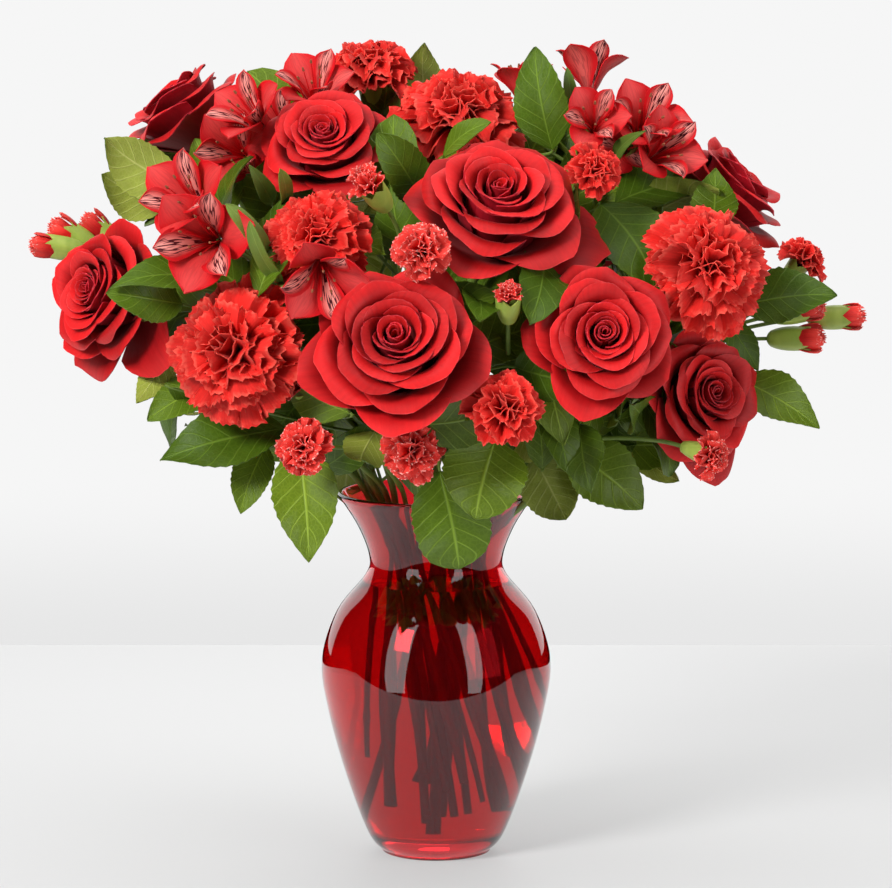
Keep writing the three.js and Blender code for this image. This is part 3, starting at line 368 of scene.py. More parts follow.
def gridded(x, y, z):
    return np.stack(np.broadcast_arrays(x, y, z), -1)


def round_axis(r, angle, z):
    """Points given by how far they are from a bloom's axis, their angle round it, and their height."""
    return gridded(r * np.cos(angle), r * np.sin(angle), z)


def turned_to(turn, r, side, z):
    """Points given outward, sideways and up from a bloom's axis, at a share of a turn round it."""
    x = r * math.cos(math.tau * turn) - side * math.sin(math.tau * turn)
    y = r * math.sin(math.tau * turn) + side * math.cos(math.tau * turn)
    return gridded(x, y, z)


def placed(grid, place):
    """A grid of points carried to its place."""
    turn = np.array(place.to_3x3())
    return grid @ turn.T + np.array(place.translation)


def softened(points, steps):
    """A smooth line through points: between two of them it follows their neighbours' direction."""
    points = np.array(points, float)
    ends = np.vstack((2 * points[0] - points[1], points, 2 * points[-1] - points[-2]))
    line = []
    for a, b, c, d in zip(ends, ends[1:], ends[2:], ends[3:]):
        for t in np.arange(steps) / steps:
            line.append(0.5 * (2 * b + (c - a) * t + (2 * a - 5 * b + 4 * c - d) * t ** 2
                               + (3 * b - a - 3 * c + d) * t ** 3))
    return np.array(line + [points[-1]])


def risen(name, profile, sides, material, place=None):
    """A round body drawn up ring by ring through (radius, height) in millimetres, closed at both ends."""
    (radius, height), *rest = profile
    bpy.ops.object.select_all(action="DESELECT")
    bpy.ops.mesh.primitive_circle_add(
        vertices=sides, radius=radius * MM, fill_type="NGON", location=(0, 0, height * MM))
    body = bpy.context.object
    bpy.ops.object.transform_apply(location=True)
    bpy.ops.object.mode_set(mode="EDIT")
    for r, z in rest:
        bpy.ops.mesh.extrude_region_move(TRANSFORM_OT_translate={"value": (0, 0, (z - height) * MM)})
        share = r / radius
        bpy.ops.transform.resize(value=(share, share, 1), center_override=(0, 0, z * MM))
        radius, height = r, z
    bpy.ops.mesh.select_all(action="SELECT")
    bpy.ops.mesh.normals_make_consistent(inside=False)
    bpy.ops.object.mode_set(mode="OBJECT")
    body.data.materials.append(material)
    body.name = name
    smooth(body)
    if place:
        body.data.transform(place)
    return body


def rods(name, paths, material, fineness=4):
    """Round stems and stalks as one mesh, each along its points with a radius in metres at each."""
    curve = bpy.data.curves.new(name, "CURVE")
    curve.dimensions = "3D"
    curve.bevel_depth = 1
    curve.bevel_resolution = fineness
    curve.use_fill_caps = True
    for points, radii in paths:
        spline = curve.splines.new("POLY")
        spline.points.add(len(points) - 1)
        for point, at, radius in zip(spline.points, points, radii):
            point.co = (*at, 1)
            point.radius = radius
    choose(linked(name, curve))
    bpy.ops.object.convert(target="MESH")
    rod = bpy.context.object
    rod.data.materials.clear()
    rod.data.materials.append(material)
    smooth(rod)
    return rod


# Materials

def linear(colour):
    """A linear colour from sRGB hex."""
    shares = [int(colour[k:k + 2], 16) / 255 for k in (1, 3, 5)]
    return (*(c / 12.92 if c <= 0.04045 else ((c + 0.055) / 1.055) ** 2.4 for c in shares), 1)


def give(tree, value, socket):
    """Sets a socket, or links it to another one or to a node's first output that is in use."""
    if isinstance(value, bpy.types.Node):
        value = next(output for output in value.outputs if output.enabled)
    if isinstance(value, bpy.types.NodeSocket):
        tree.links.new(value, socket)
    else:
        socket.default_value = value


def add(tree, kind, inputs=(), **settings):
    """A node with its settings, its inputs linked or set."""
    node = tree.nodes.new(kind)
    for name, value in settings.items():
        setattr(node, name, value)
    for key, value in dict(inputs).items():
        give(tree, value, node.inputs[key])
    return node


def material(name, **looks):
    """A new material with a Principled shader, whose looks are its sockets' own values."""
    made = bpy.data.materials.new(name)
    made.use_nodes = True
    shader = made.node_tree.nodes["Principled BSDF"]
    for socket, value in looks.items():
        shader.inputs[socket.replace("_", " ")].default_value = value
    return made, made.node_tree, shader


def dress(tree, shader, colour, height, strength, depth):
    """Gives a shader its colour, and a relief that is this many millimetres deep."""
    bump = add(tree, "ShaderNodeBump", {"Height": height, "Strength": strength, "Distance": depth * MM})
    give(tree, colour, shader.inputs["Base Color"])
    give(tree, bump, shader.inputs["Normal"])


def on_sheet(tree):
    """A sheet's UV map, a point's places across and along it, and the sheet's tint."""
    along = add(tree, "ShaderNodeUVMap", uv_map="along")
    place = add(tree, "ShaderNodeSeparateXYZ", {0: along}).outputs
    tint = add(tree, "ShaderNodeAttribute", attribute_name="tint").outputs["Fac"]
    return along, place, tint


def off_middle(tree, place):
    """How far a point of a sheet is from its middle line, as a share of its width."""
    middle = add(tree, "ShaderNodeMath", {0: place["X"], 1: 0.5}, operation="SUBTRACT")
    return add(tree, "ShaderNodeMath", {0: middle}, operation="ABSOLUTE")


# How far a petal's change of colour wanders, as a share of its length.
WANDER = 0.16


def petal(name, base, lip, reach, edge, veins, **looks):
    """A petal's skin: `base` turns to `lip` from `reach` outwards along the petal, every petal a little
    lighter or darker than the next, with fine veins that run its length, this many side by side. The edge is
    a colour, the share of the length where it starts, and how often it is missing. On the roses that edge
    is a painted highlight along the rim; on the carnations it is a lighter toothed edge, and on the spray
    carnations their own pale broken edge."""
    made, tree, shader = material(name, **looks)
    along, place, tint = on_sheet(tree)
    rim, start, missing = edge
    wander = add(tree, "ShaderNodeTexNoise", {"Vector": along, "Scale": 5.0, "Detail": 3.0})
    bound = add(tree, "ShaderNodeMath", {0: wander, 1: WANDER, 2: place["Y"]}, operation="MULTIPLY_ADD")
    share = add(tree, "ShaderNodeMapRange", {
        "Value": bound, "From Min": reach[0] + WANDER / 2, "From Max": reach[1] + WANDER / 2,
    }, interpolation_type="SMOOTHSTEP")
    body = add(tree, "ShaderNodeMix", {0: share, 6: linear(base), 7: linear(lip)}, data_type="RGBA")
    # The edge colour comes in near the lip: on the roses it is a painted rim highlight, on the spray
    # carnations their own pale edge.
    outer = add(tree, "ShaderNodeMapRange", {"Value": place["Y"], "From Min": start})
    fleck = add(tree, "ShaderNodeTexNoise", {"Vector": along, "Scale": 11.0, "Detail": 2.0})
    kept = add(tree, "ShaderNodeMapRange", {"Value": fleck, "From Min": missing, "From Max": missing + 0.1})
    shown = add(tree, "ShaderNodeMath", {0: outer, 1: kept}, operation="MULTIPLY")
    body = add(tree, "ShaderNodeMix", {0: shown, 6: body, 7: linear(rim)}, data_type="RGBA")
    stretched = add(tree, "ShaderNodeMapping", {"Vector": along, "Scale": (veins, 2.5, 1)})
    vein = add(tree, "ShaderNodeTexNoise", {"Vector": stretched, "Scale": 1.0, "Detail": 2.0})
    light = add(tree, "ShaderNodeMath", {0: vein, 1: 0.5, 2: 0.52}, operation="MULTIPLY_ADD")
    value = add(tree, "ShaderNodeMath", {0: tint, 1: 0.5, 2: light}, operation="MULTIPLY_ADD")
    colour = add(tree, "ShaderNodeHueSaturation", {"Color": body, "Value": value})
    dress(tree, shader, colour, vein, 0.35, 0.4)
    return made


def green(name, base, shade, grain, **looks):
    """The skin of a stem or a calyx: two greens in long soft streaks, this many millimetres wide."""
    made, tree, shader = material(name, **looks)
    at = add(tree, "ShaderNodeTexCoord").outputs["Object"]
    streaked = add(tree, "ShaderNodeMapping", {"Vector": at, "Scale": (1, 1, 0.3)})
    streak = add(tree, "ShaderNodeTexNoise", {"Vector": streaked, "Scale": 1 / (grain * MM), "Detail": 4.0})
    colour = add(tree, "ShaderNodeMix", {0: streak, 6: linear(base), 7: linear(shade)}, data_type="RGBA")
    dress(tree, shader, colour, streak, 0.3, 0.3)
    return made


# A middling leaf's width and length, and how wide the cells of its net are.
LEAF = (28, 48)
NET = 2


def leaf_skin(name, base, vein, pairs, relief, **looks):
    """A leaf's skin with its midrib, `pairs` of side veins that lean to the tip, and a net between them."""
    made, tree, shader = material(name, **looks)
    along, place, tint = on_sheet(tree)
    off = off_middle(tree, place)
    lean = add(tree, "ShaderNodeMath", {0: off, 1: -0.5, 2: place["Y"]}, operation="MULTIPLY_ADD")
    pair = add(tree, "ShaderNodeMath", {0: lean, 1: float(pairs)}, operation="MULTIPLY")
    beside = add(tree, "ShaderNodeMath", {0: pair, 1: 0.5}, operation="PINGPONG")
    side = add(tree, "ShaderNodeMapRange", {
        "Value": beside, "From Max": 0.09, "To Min": 0.7, "To Max": 0.0,
    }, interpolation_type="SMOOTHSTEP")
    rib = add(tree, "ShaderNodeMapRange", {
        "Value": off, "From Max": 0.035, "To Min": 1.0, "To Max": 0.0,
    }, interpolation_type="SMOOTHSTEP")
    veins = add(tree, "ShaderNodeMath", {0: side, 1: rib}, operation="MAXIMUM")
    cells = add(tree, "ShaderNodeMapping", {"Vector": along, "Scale": (LEAF[0] / NET, LEAF[1] / NET, 1)})
    net = add(tree, "ShaderNodeTexVoronoi", {"Vector": cells, "Scale": 1.0}, feature="DISTANCE_TO_EDGE")
    line = add(tree, "ShaderNodeMapRange", {"Value": net, "From Max": 0.16, "To Min": 0.18, "To Max": 0.0})
    drawn = add(tree, "ShaderNodeMath", {0: veins, 1: line}, operation="MAXIMUM")
    body = add(tree, "ShaderNodeMix", {0: drawn, 6: linear(base), 7: linear(vein)}, data_type="RGBA")
    patch = add(tree, "ShaderNodeTexNoise", {"Vector": along, "Scale": 3.0, "Detail": 4.0})
    mottle = add(tree, "ShaderNodeMath", {0: patch, 1: 0.5, 2: 0.36}, operation="MULTIPLY_ADD")
    value = add(tree, "ShaderNodeMath", {0: tint, 1: 0.8, 2: mottle}, operation="MULTIPLY_ADD")
    hue = add(tree, "ShaderNodeMath", {0: tint, 1: -0.025, 2: 0.505}, operation="MULTIPLY_ADD")
    colour = add(tree, "ShaderNodeHueSaturation", {"Color": body, "Value": value, "Hue": hue})
    dress(tree, shader, colour, drawn, 0.5, relief)
    return made


def lily_petal():
    """Crimson with a pale throat and dark dashes along its middle, both faint on the outer petals, which
    have the lower tints."""
    made, tree, shader = material("lily_petal", Roughness=0.45, Specular_IOR_Level=0.3)
    along, place, tint = on_sheet(tree)
    off = off_middle(tree, place)
    pale = add(tree, "ShaderNodeMapRange", {
        "Value": off, "From Min": 0.08, "From Max": 0.4, "To Min": 0.7, "To Max": 0.0,
    })
    inner = add(tree, "ShaderNodeMapRange", {
        "Value": tint, "From Min": 0.3, "From Max": 0.7, "To Min": 0.12, "To Max": 1.0,
    })
    blush = add(tree, "ShaderNodeMath", {0: pale, 1: inner}, operation="MULTIPLY")
    colours = {6: linear("#cc161d"), 7: linear("#f5b0a4")}
    body = add(tree, "ShaderNodeMix", {0: blush, **colours}, data_type="RGBA")
    dashes = add(tree, "ShaderNodeMapping", {"Vector": along, "Scale": (24, 5, 1)})
    dash = add(tree, "ShaderNodeTexNoise", {"Vector": dashes, "Scale": 1.0, "Detail": 0.0})
    mark = add(tree, "ShaderNodeMapRange", {"Value": dash, "From Min": 0.53, "From Max": 0.58})
    near = add(tree, "ShaderNodeMapRange", {
        "Value": off, "From Min": 0.25, "From Max": 0.42, "To Min": 1.0, "To Max": 0.0,
    })
    shown = add(tree, "ShaderNodeMath", {0: mark, 1: near}, operation="MULTIPLY")
    shown = add(tree, "ShaderNodeMath", {0: shown, 1: inner}, operation="MULTIPLY")
    colour = add(tree, "ShaderNodeMix", {0: shown, 6: body, 7: linear("#4a0713")}, data_type="RGBA")
    dress(tree, shader, colour, dash, 0.3, 0.3)
    return made


def clear(name, colour, ripple, detail, strength, depth, **looks):
    """A clear body with a slow ripple on its surface, of this length and depth in millimetres."""
    made, tree, shader = material(name, Roughness=0.0, Transmission_Weight=1.0, **looks)
    at = add(tree, "ShaderNodeTexCoord").outputs["Object"]
    wave = add(tree, "ShaderNodeTexNoise", {"Vector": at, "Scale": 1 / (ripple * MM), "Detail": detail})
    dress(tree, shader, linear(colour), wave, strength, depth)
    return made


# A rose's petals grow with a velvety face, which has no hard highlights. The thin lighter line along their
# rims is a painted highlight, and their darker roots, deep in the cup, are partly painted shade.
ROSE_PETAL = petal(
    "rose_petal_velvet", "#8e080e", "#cc1d1f", (0.45, 1.0), ("#d63e3e", 0.97, 0.42), 26,
    Roughness=0.5, Specular_IOR_Level=0.3,
    Sheen_Weight=0.12, Sheen_Roughness=0.35, Sheen_Tint=linear("#ff9a9a"))
# Their backs are duller and a little bluer, and darker, which is painted shade that parts one petal from the
# next; their rims carry the same painted highlight.
ROSE_BACK = petal(
    "rose_petal_back", "#860a16", "#b01a28", (0.35, 1.0), ("#c83a44", 0.97, 0.5), 22,
    Roughness=0.55, Specular_IOR_Level=0.25,
    Sheen_Weight=0.12, Sheen_Roughness=0.35, Sheen_Tint=linear("#ff9aa8"))
# A carnation's petals are thin and finely creased like crepe, so they look matt, with lighter toothed edges.
CARNATION_PETAL = petal(
    "carnation_petal_crepe", "#9c0a0d", "#d62822", (0.3, 0.95), ("#ea5648", 0.9, 0.44), 34,
    Roughness=0.6, Specular_IOR_Level=0.2, Sheen_Weight=0.12, Sheen_Tint=linear("#ffb0a8"))
# Those of the spray carnations are as matt, with a pale broken line along their edges.
MINI_PETAL = petal(
    "spray_carnation_petal", "#c4181a", "#e23c34", (0.4, 0.95), ("#f8b8ae", 0.87, 0.52), 30,
    Roughness=0.6, Specular_IOR_Level=0.2, Sheen_Weight=0.12, Sheen_Tint=linear("#ffc8c0"))
# A Peruvian lily's petals are smooth and satiny.
LILY_PETAL = lily_petal()
# Salal leaves are waxy on top: dark, with soft highlights that show their arch and their veins.
LEAF_TOP = leaf_skin(
    "salal_leaf_top", "#4a6513", "#718f2d", 7, 0.5, Roughness=0.36, Specular_IOR_Level=0.4)
# Below they are pale and matt, and their veins stand out more.
LEAF_UNDER = leaf_skin(
    "salal_leaf_underside", "#8f9c3c", "#b4bc66", 7, 0.8, Roughness=0.6, Specular_IOR_Level=0.3)
# The lilies' own leaves are thin, light and satiny, with hardly a vein.
LILY_LEAF = leaf_skin("lily_leaf", "#5f7a2c", "#7c9443", 1, 0.3, Roughness=0.5)
# Fresh stems are satiny and streaked lengthwise by their fibres.
STEM_SKIN = green("fresh_stem_skin", "#4f6a26", "#7f9440", 9, Roughness=0.5)
# Hips, sepals and calyces have a bloom of wax that makes them light and a little shiny.
CALYX_SKIN = green("waxy_calyx_skin", "#7a9634", "#b2c05c", 5, Roughness=0.4)
# Pollen makes the anthers dull and grainy.
ANTHER = green("anther_pollen", "#6b2a2a", "#a0683c", 1, Roughness=0.8)
# Blown soda glass, coloured through: clear and glossy, and what shows through it bends a little, because a
# blown wall isn't quite even.
GLASS = clear("blown_red_glass", "#d41e27", 60, 1.0, 0.15, 2, IOR=1.5,
              Coat_Weight=0.4, Coat_Roughness=0.0, Coat_IOR=1.5)
# Still water is clear, with a faint ripple where it meets the air.
WATER = clear("still_water", "#f7fbfa", 25, 2.0, 0.1, 1, IOR=1.333)


# Blooms. A petal is a grid of points: along its rows from its root to its lip, and across its columns.

def between(low, high, share):
    return low + (high - low) * share


def climbing(lengths, angles):
    """Where a petal's rows come, out and up, when each length is walked at its angle to the level."""
    walked = np.diff(lengths, axis=0, prepend=0)
    return (walked * np.cos(angles)).cumsum(0), (walked * np.sin(angles)).cumsum(0)


# A rose's whorls: how many petals, how far out and how high the lip is, how upright the petal stands
# and how far its lip curls back in degrees, and where its first petal is.
ROSE_WHORLS = (
    (5, 1.0, 0.55, 36, 70, 0.45), (4, 0.86, 0.76, 52, 100, 0.95), (4, 0.71, 0.93, 74, 120, 0.2),
    (3, 0.59, 0.99, 86, 105, 0.8), (3, 0.47, 1.01, 92, 85, 0.3), (3, 0.36, 1.01, 96, 70, 0.55),
    (3, 0.27, 1.0, 98, 60, 0.05), (3, 0.2, 0.99, 100, 50, 0.4), (2, 0.14, 0.98, 100, 40, 0.1),
    (2, 0.085, 0.97, 98, 25, 0.6), (1, 0.035, 0.95, 92, 0, 0.2),
)
# Roses with old outer petals that hang out of the bloom, and the ways that they point, right and up.
HANGING = {
    "rose_left": ((-0.85, -0.6), (0.75, -0.6)), "rose_center": ((1.0, -0.2),),
    "rose_lower_right": ((0.45, -0.9),),
}
# The way that a hanging petal is grown: its reach, its rise, how upright it stands and how far it curls.
OLD_PETAL = (1.3, 0.22, 14, 50)
# The columns and rows of a petal that reaches further than this share of the bloom, and of the ones inside.
OUTER = 0.4
OUTER_GRID = (17, 16)
INNER_GRID = (11, 11)


def rose_petal(reach, rise, upright, curl, turn, draw):
    """A rose's petal: it bellies out, stands up round the heart, and its lip curls back, most at the sides,
    so that it comes to a point."""
    u, v = across_along(*(OUTER_GRID if reach > OUTER else INNER_GRID))
    v = 1 - (1 - v) ** 1.45
    point = draw.uniform(-0.3, 0.3)
    outline = 1 - between(0.06, 0.24, reach) * np.abs(u) ** 2.6
    outline = outline + 0.04 * reach * np.exp(-((u - point) / 0.16) ** 2)
    s = v * outline
    standing = np.clip(s / 0.42, 0, 1) ** 1.2
    lip = between(0.92, 0.74, reach)
    rolled = np.clip((s - lip) / (1 - lip), 0, 1) * (0.6 + 0.7 * np.abs(u - point) ** 1.3)
    angle = 8 + (upright + draw.uniform(-5, 3) - 8) * standing - curl * rolled
    out, up = climbing(s, np.radians(angle))
    middle = u.size // 2
    r = 0.04 + (reach - 0.04) * out / out[:, middle].max()
    z = rise * (1 + draw.uniform(-0.03, 0.03)) * up / up[:, middle].max()
    wide = between(1.0, 1.42, reach ** 0.7) * np.sin(math.pi * (0.08 + between(0.48, 0.6, reach) * s ** 0.85))
    half = wide / (2 * r)
    most = between(2.5, 0.92, reach ** 0.5)
    half = half * most / (half ** 4 + most ** 4) ** 0.25
    phase = draw.uniform(0, math.tau)
    ripple = between(0.004, 0.024, reach) * np.sin(3.3 * u + phase) * v ** 2
    r = r * (1 + between(0.13, 0.05, reach) * u) + ripple
    z = z + between(0.004, 0.04, reach) * np.sin(3.7 * u + 2 * phase) * v ** 3
    return round_axis(r, math.tau * turn + half * u, z)


def rose(name, bloom):
    draw = random.Random(name)
    radius = bloom[2] / 2 * MM
    place = foot_of("rose", bloom)
    heads = Sheets()
    for count, reach, rise, upright, curl, start in ROSE_WHORLS:
        for k in range(count):
            turn = (k + start + draw.uniform(-0.1, 0.1)) / count
            leaning = upright + draw.uniform(-12, 12) * reach
            grid = rose_petal(reach * draw.uniform(0.93, 1.04), rise, leaning, curl, turn, draw)
            heads.add(placed(grid * radius, place), draw.random())
    for right, up in HANGING.get(name, ()):
        way = place.to_3x3().inverted() @ Vector((right, 0, up))
        turn = math.atan2(way.y, way.x) / math.tau
        heads.add(placed(rose_petal(*OLD_PETAL, turn, draw) * radius, place), 0.2)
    # A sheet's own side is the petal's back.
    return heads.piece(name + "_petals", ROSE_BACK, THICK["rose"], ROSE_PETAL)


# The whorls of a carnation, of a spray carnation and of one that is half open: how many petals, how far out
# and how high they reach, the angle at which they leave the cup and the one at which their edge lies.
CARNATION_WHORLS = (
    (7, 1.0, 0.28, 70, -35), (8, 0.95, 0.45, 76, -25), (7, 0.82, 0.62, 80, -10), (7, 0.66, 0.75, 82, 5),
    (6, 0.48, 0.84, 84, 20), (5, 0.3, 0.89, 84, 40), (4, 0.14, 0.9, 84, 60),
)
MINI_WHORLS = (
    (5, 1.0, 0.42, 76, -25), (5, 0.86, 0.66, 80, -5), (5, 0.62, 0.86, 84, 20), (4, 0.34, 1.0, 84, 50),
    (3, 0.14, 1.02, 84, 70),
)
HALF_OPEN_WHORLS = (
    (5, 0.95, 1.0, 84, 50), (5, 0.7, 1.3, 84, 60), (4, 0.45, 1.46, 84, 70), (3, 0.2, 1.5, 84, 80),
)
# The same three with the columns and rows of a petal, how wide it is and how deep its folds are.
CARNATION = (CARNATION_WHORLS, (21, 9), 0.95, 0.1)
MINI = (MINI_WHORLS, (17, 8), 1.1, 0.13)
HALF_OPEN = (HALF_OPEN_WHORLS, (15, 8), 1.0, 0.13)


def frilled_petal(reach, rise, start, end, turn, draw, size, wide, depth):
    """A carnation's petal: an upright claw that fans out to a blade, which lies outwards in soft folds and
    has a finely toothed edge."""
    u, v = across_along(*size)
    v = v ** 0.85
    teeth = np.array([0.016 * (-1) ** k + draw.uniform(-0.014, 0.014) for k in range(u.size)])[None, :]
    s = v * (1 - 0.2 * np.abs(u) ** 2.2) + teeth * v ** 6
    bent = np.clip((s - 0.3) / 0.7, 0, 1) ** 0.8
    angle = start + (end + draw.uniform(-22, 22) - start) * bent
    out, up = climbing(s, np.radians(np.broadcast_to(angle, s.shape)))
    middle = u.size // 2
    r = 0.02 + reach * out / max(out[:, middle].max(), 0.3)
    z = rise * up / up[:, middle].max()
    spread = wide * (0.08 + 0.92 * np.clip(s, 0, 2) ** 1.5) / 2
    waves = draw.uniform(1.3, 2.4)
    phase = draw.uniform(0, math.tau)
    fold = depth * s ** 1.5 * np.sin(waves * math.pi * u + phase)
    fold = fold + 0.4 * depth * s ** 3 * np.sin(2.3 * waves * math.pi * u + 2.1 * phase)
    cupped = draw.uniform(-0.12, 0.3) * np.abs(u) ** 1.5 * spread
    twist = draw.uniform(-0.5, 0.5) * s
    side = u * spread * np.cos(twist) - (fold + cupped) * np.sin(twist)
    lift = u * spread * np.sin(twist) + (fold + cupped) * np.cos(twist)
    lie = np.radians(between(start, end, 0.75))
    return turned_to(turn, r - lift * math.sin(lie), side, z + lift * math.cos(lie))


def frilled(name, bloom, kind, form, skin):
    """A carnation of any kind, with petals of this form."""
    draw = random.Random(name)
    radius = bloom[2] / 2 * MM
    place = foot_of(kind, bloom)
    heads = Sheets()
    whorls, *shape = form
    for k, (count, reach, rise, start, end) in enumerate(whorls):
        for n in range(count):
            turn = (n + 0.5 * (k % 2) + draw.uniform(-0.25, 0.25)) / count
            high = rise + draw.uniform(-0.06, 0.06)
            grid = frilled_petal(reach * draw.uniform(0.88, 1.05), high, start, end, turn, draw, *shape)
            heads.add(placed(grid * radius, place), draw.random())
    return heads.piece(name + "_petals", skin, THICK[kind])


def tepal(broad, turn, draw):
    """A Peruvian lily's petal: a narrow claw and a blade that opens outwards. The outer three are broad
    with a small point, the inner three narrow and longer."""
    u, v = across_along(9, 17)
    tip_out, tip_up, wide = (1.0, 1.22, 1.0) if broad else (0.82, 1.42, 0.6)
    r = (1 - v) ** 3 * 0.06 + 3 * v * (1 - v) ** 2 * 0.24 + 3 * v ** 2 * (1 - v) * 0.42 + v ** 3 * tip_out
    z = 3 * v * (1 - v) ** 2 * 0.6 + 3 * v ** 2 * (1 - v) * (tip_up - 0.2) + v ** 3 * tip_up
    shape = np.interp(v, (0, 0.15, 0.35, 0.55, 0.72, 0.84, 0.92, 0.97, 1),
                      (0.14, 0.2, 0.45, 0.82, 1, 0.94, 0.72, 0.4, 0.06))
    spread = wide / 2 * shape
    wave = 0.04 * np.sin(6 * v + draw.uniform(0, 6)) * u + 0.03 * np.sin(9 * v + draw.uniform(0, 6)) * u ** 2
    r = r - 0.3 * spread * u ** 2 + wave
    return turned_to(turn, r, u * spread, z)


# The radii of a stamen's thread along its four points and of the anther at its end, and the anther's length.
THREAD = (0.35, 0.35, 0.35, 0.25)
BEAD = (0.8, 0.5)
BEAD_LENGTH = 2


def lily(name, heads):
    draw = random.Random(name)
    sheets = Sheets()
    threads = []
    beads = []
    for bloom in heads:
        radius = LILY_OPEN * bloom[2] / 2 * MM
        place = foot_of("lily", bloom)
        for k in range(6):
            grid = tepal(k % 2 == 0, (k + draw.uniform(-0.08, 0.08)) / 6, draw)
            # An outer petal's tint is below a half, an inner one's above.
            sheets.add(placed(grid * radius, place), between(k % 2, 1 - k % 2, 0.4 * draw.random()))
        for k in range(6):
            angle = math.tau * (k + 0.5) / 6
            lean = draw.uniform(0.1, 0.28)
            line = [(0.04, 0.1), (0.12, 0.6), (0.12 + lean / 2, 1.0), (0.1 + lean, draw.uniform(1.2, 1.4))]
            points = [place @ (Vector(round_axis(r, angle, z)) * radius) for r, z in line]
            threads.append((points, [r * MM for r in THREAD]))
            end = points[-1]
            tip = end + (end - points[-2]).normalized() * BEAD_LENGTH * MM
            beads.append(([end, tip], [r * MM for r in BEAD]))
    pieces = [
        sheets.piece(name, LILY_PETAL, THICK["lily"]),
        rods(name, threads, LILY_PETAL, 1),
        rods(name, beads, ANTHER, 1),
    ]
    return joined(name + "_petals", pieces)


# Stems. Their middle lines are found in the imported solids, plane by plane, so they stand where those do.

# A height at which each stem can be found: above the highest foot, below the neck.
ROOTED = 105
# How many rounds settle the middles of the stems there, how many smooth their lines, and how many steps a
# line has at most.
SETTLING = 12
SMOOTHING = 6
STEPS = 400
# In radii of a stem: how long a step is, and how far round its guess it looks for the solid, twice.
STRIDE = 1.5
LOOK = (2.4, 1.6)


def faces_of(node):
    mesh = frame["nodes"][node].data
    places = np.empty(len(mesh.vertices) * 3)
    mesh.vertices.foreach_get("co", places)
    mesh.calc_loop_triangles()
    corners = np.empty(len(mesh.loop_triangles) * 3, np.int32)
    mesh.loop_triangles.foreach_get("vertices", corners)
    return places.reshape(-1, 3)[corners].reshape(-1, 3, 3)


def cut(faces, at, way):
    """The middles and the lengths of the lines in which a plane cuts the faces."""
    height = (faces - at) @ way
    crossed = (height.min(1) < 0) & (height.max(1) > 0)
    faces, height = faces[crossed], height[crossed]
    after, above = np.roll(faces, -1, 1), np.roll(height, -1, 1)
    passes = height * above < 0
    share = height / np.where(passes, height - above, 1)
    points = (faces + share[..., None] * (after - faces))[passes]
    ends = points[:len(points) // 2 * 2].reshape(-1, 2, 3)
    return ends.mean(1), np.linalg.norm(ends[:, 0] - ends[:, 1], axis=1)


def roots(faces, count, height):
    """The middles of the stems that a level plane cuts."""
    middles, lengths = cut(faces, np.array((0, 0, height)), np.array((0, 0, 1.0)))
    centres = [middles[0]]
    while len(centres) < count:
        far = np.min([np.linalg.norm(middles - c, axis=1) for c in centres], axis=0)
        centres.append(middles[far.argmax()])
    for _ in range(SETTLING):
        nearest = np.argmin([np.linalg.norm(middles - c, axis=1) for c in centres], axis=0)
        centres = [np.average(middles[nearest == k], axis=0, weights=lengths[nearest == k] + 1e-9)
                   for k in range(count)]
    return centres


def followed(faces, start, way, radius, goals):
    """The line of a stem from a start on, until its solid ends or it comes to a goal."""
    line = [start]
    step = STRIDE * radius
    for _ in range(STEPS):
        guess = line[-1] + way * step
        for reach in LOOK:
            middles, lengths = cut(faces, guess, way)
            near = np.linalg.norm(middles - guess, axis=1) < reach * radius
            if not near.any() or not lengths[near].sum():
                return line, None
            guess = np.average(middles[near], axis=0, weights=lengths[near])
        gone = guess - line[-1]
        way = way + gone / max(np.linalg.norm(gone), 1e-9)
        way = way / np.linalg.norm(way)
        line.append(guess)
        for name, goal in goals.items():
            if np.linalg.norm(guess - goal) < 2.5 * radius + 2 * step:
                return line + [goal], name
    return line, None


def evened(line):
    """The same line with its small kinks smoothed away, its ends kept."""
    points = np.array(line)
    for _ in range(SMOOTHING):
        points[1:-1] = 0.25 * points[:-2] + 0.5 * points[1:-1] + 0.25 * points[2:]
    return points


def trunks(node, radius, goals):
    """Each stem of a node from its foot in the water to its goal: {the goal's name: the line}."""
    faces = faces_of(node)
    found = {}
    for start in roots(faces, len(goals), ROOTED * MM):
        down, _ = followed(faces, start, np.array((0, 0, -1.0)), radius, {})
        way = down[2 * len(down) // 3] - start
        foot = start + way * (down[-1][2] - start[2]) / way[2]
        up, name = followed(faces, start, np.array((0, 0, 1.0)), radius, goals)
        left = [g for g in goals if g not in found]
        if name is None or name in found:
            name = min(left, key=lambda g: np.linalg.norm(goals[g] - up[-1]))
            up = up + [goals[name]]
        found[name] = evened([foot + (start - foot) * k / 8 for k in range(8)] + up)
    return found


def trunk(node, kind, fork):
    """The only stem of a node, up to its fork."""
    return trunks(node, STEM[kind] * MM, {node: np.array(seen(fork))})[node]


# How much slimmer a stem is at its top, how much thicker at a joint, how far from the joint that reaches,
# and how far before its end a branch has come round to the way that it arrives.
TAPER = 0.12
SWELL = 0.35
KNOT = 2.6
BEND = 26


def knotted(line, radius, every=None):
    """A stem's radius along its line: slimmer to the top, and thicker at its joints where it has any."""
    reach = np.linalg.norm(np.diff(line, axis=0, prepend=line[:1]), axis=1).cumsum()
    radii = radius * (1 - TAPER * reach / reach[-1])
    if every:
        off = np.abs((reach / every) % 1 - 0.5) * every
        radii = radii * (1 + SWELL * np.exp(-(off / (KNOT * MM)) ** 2))
    return radii


def stalk(start, end, way, radius, lean=0.4):
    """A branch from a stem that arrives at its end along a way, as its points and radii."""
    start, end, way = (np.array(x) for x in (start, end, way))
    middle = end - way * min(BEND * MM, lean * np.linalg.norm(end - start))
    s = np.linspace(0, 1, 9)[:, None]
    line = (1 - s) ** 2 * start + 2 * s * (1 - s) * middle + s ** 2 * end
    return line, knotted(line, radius)


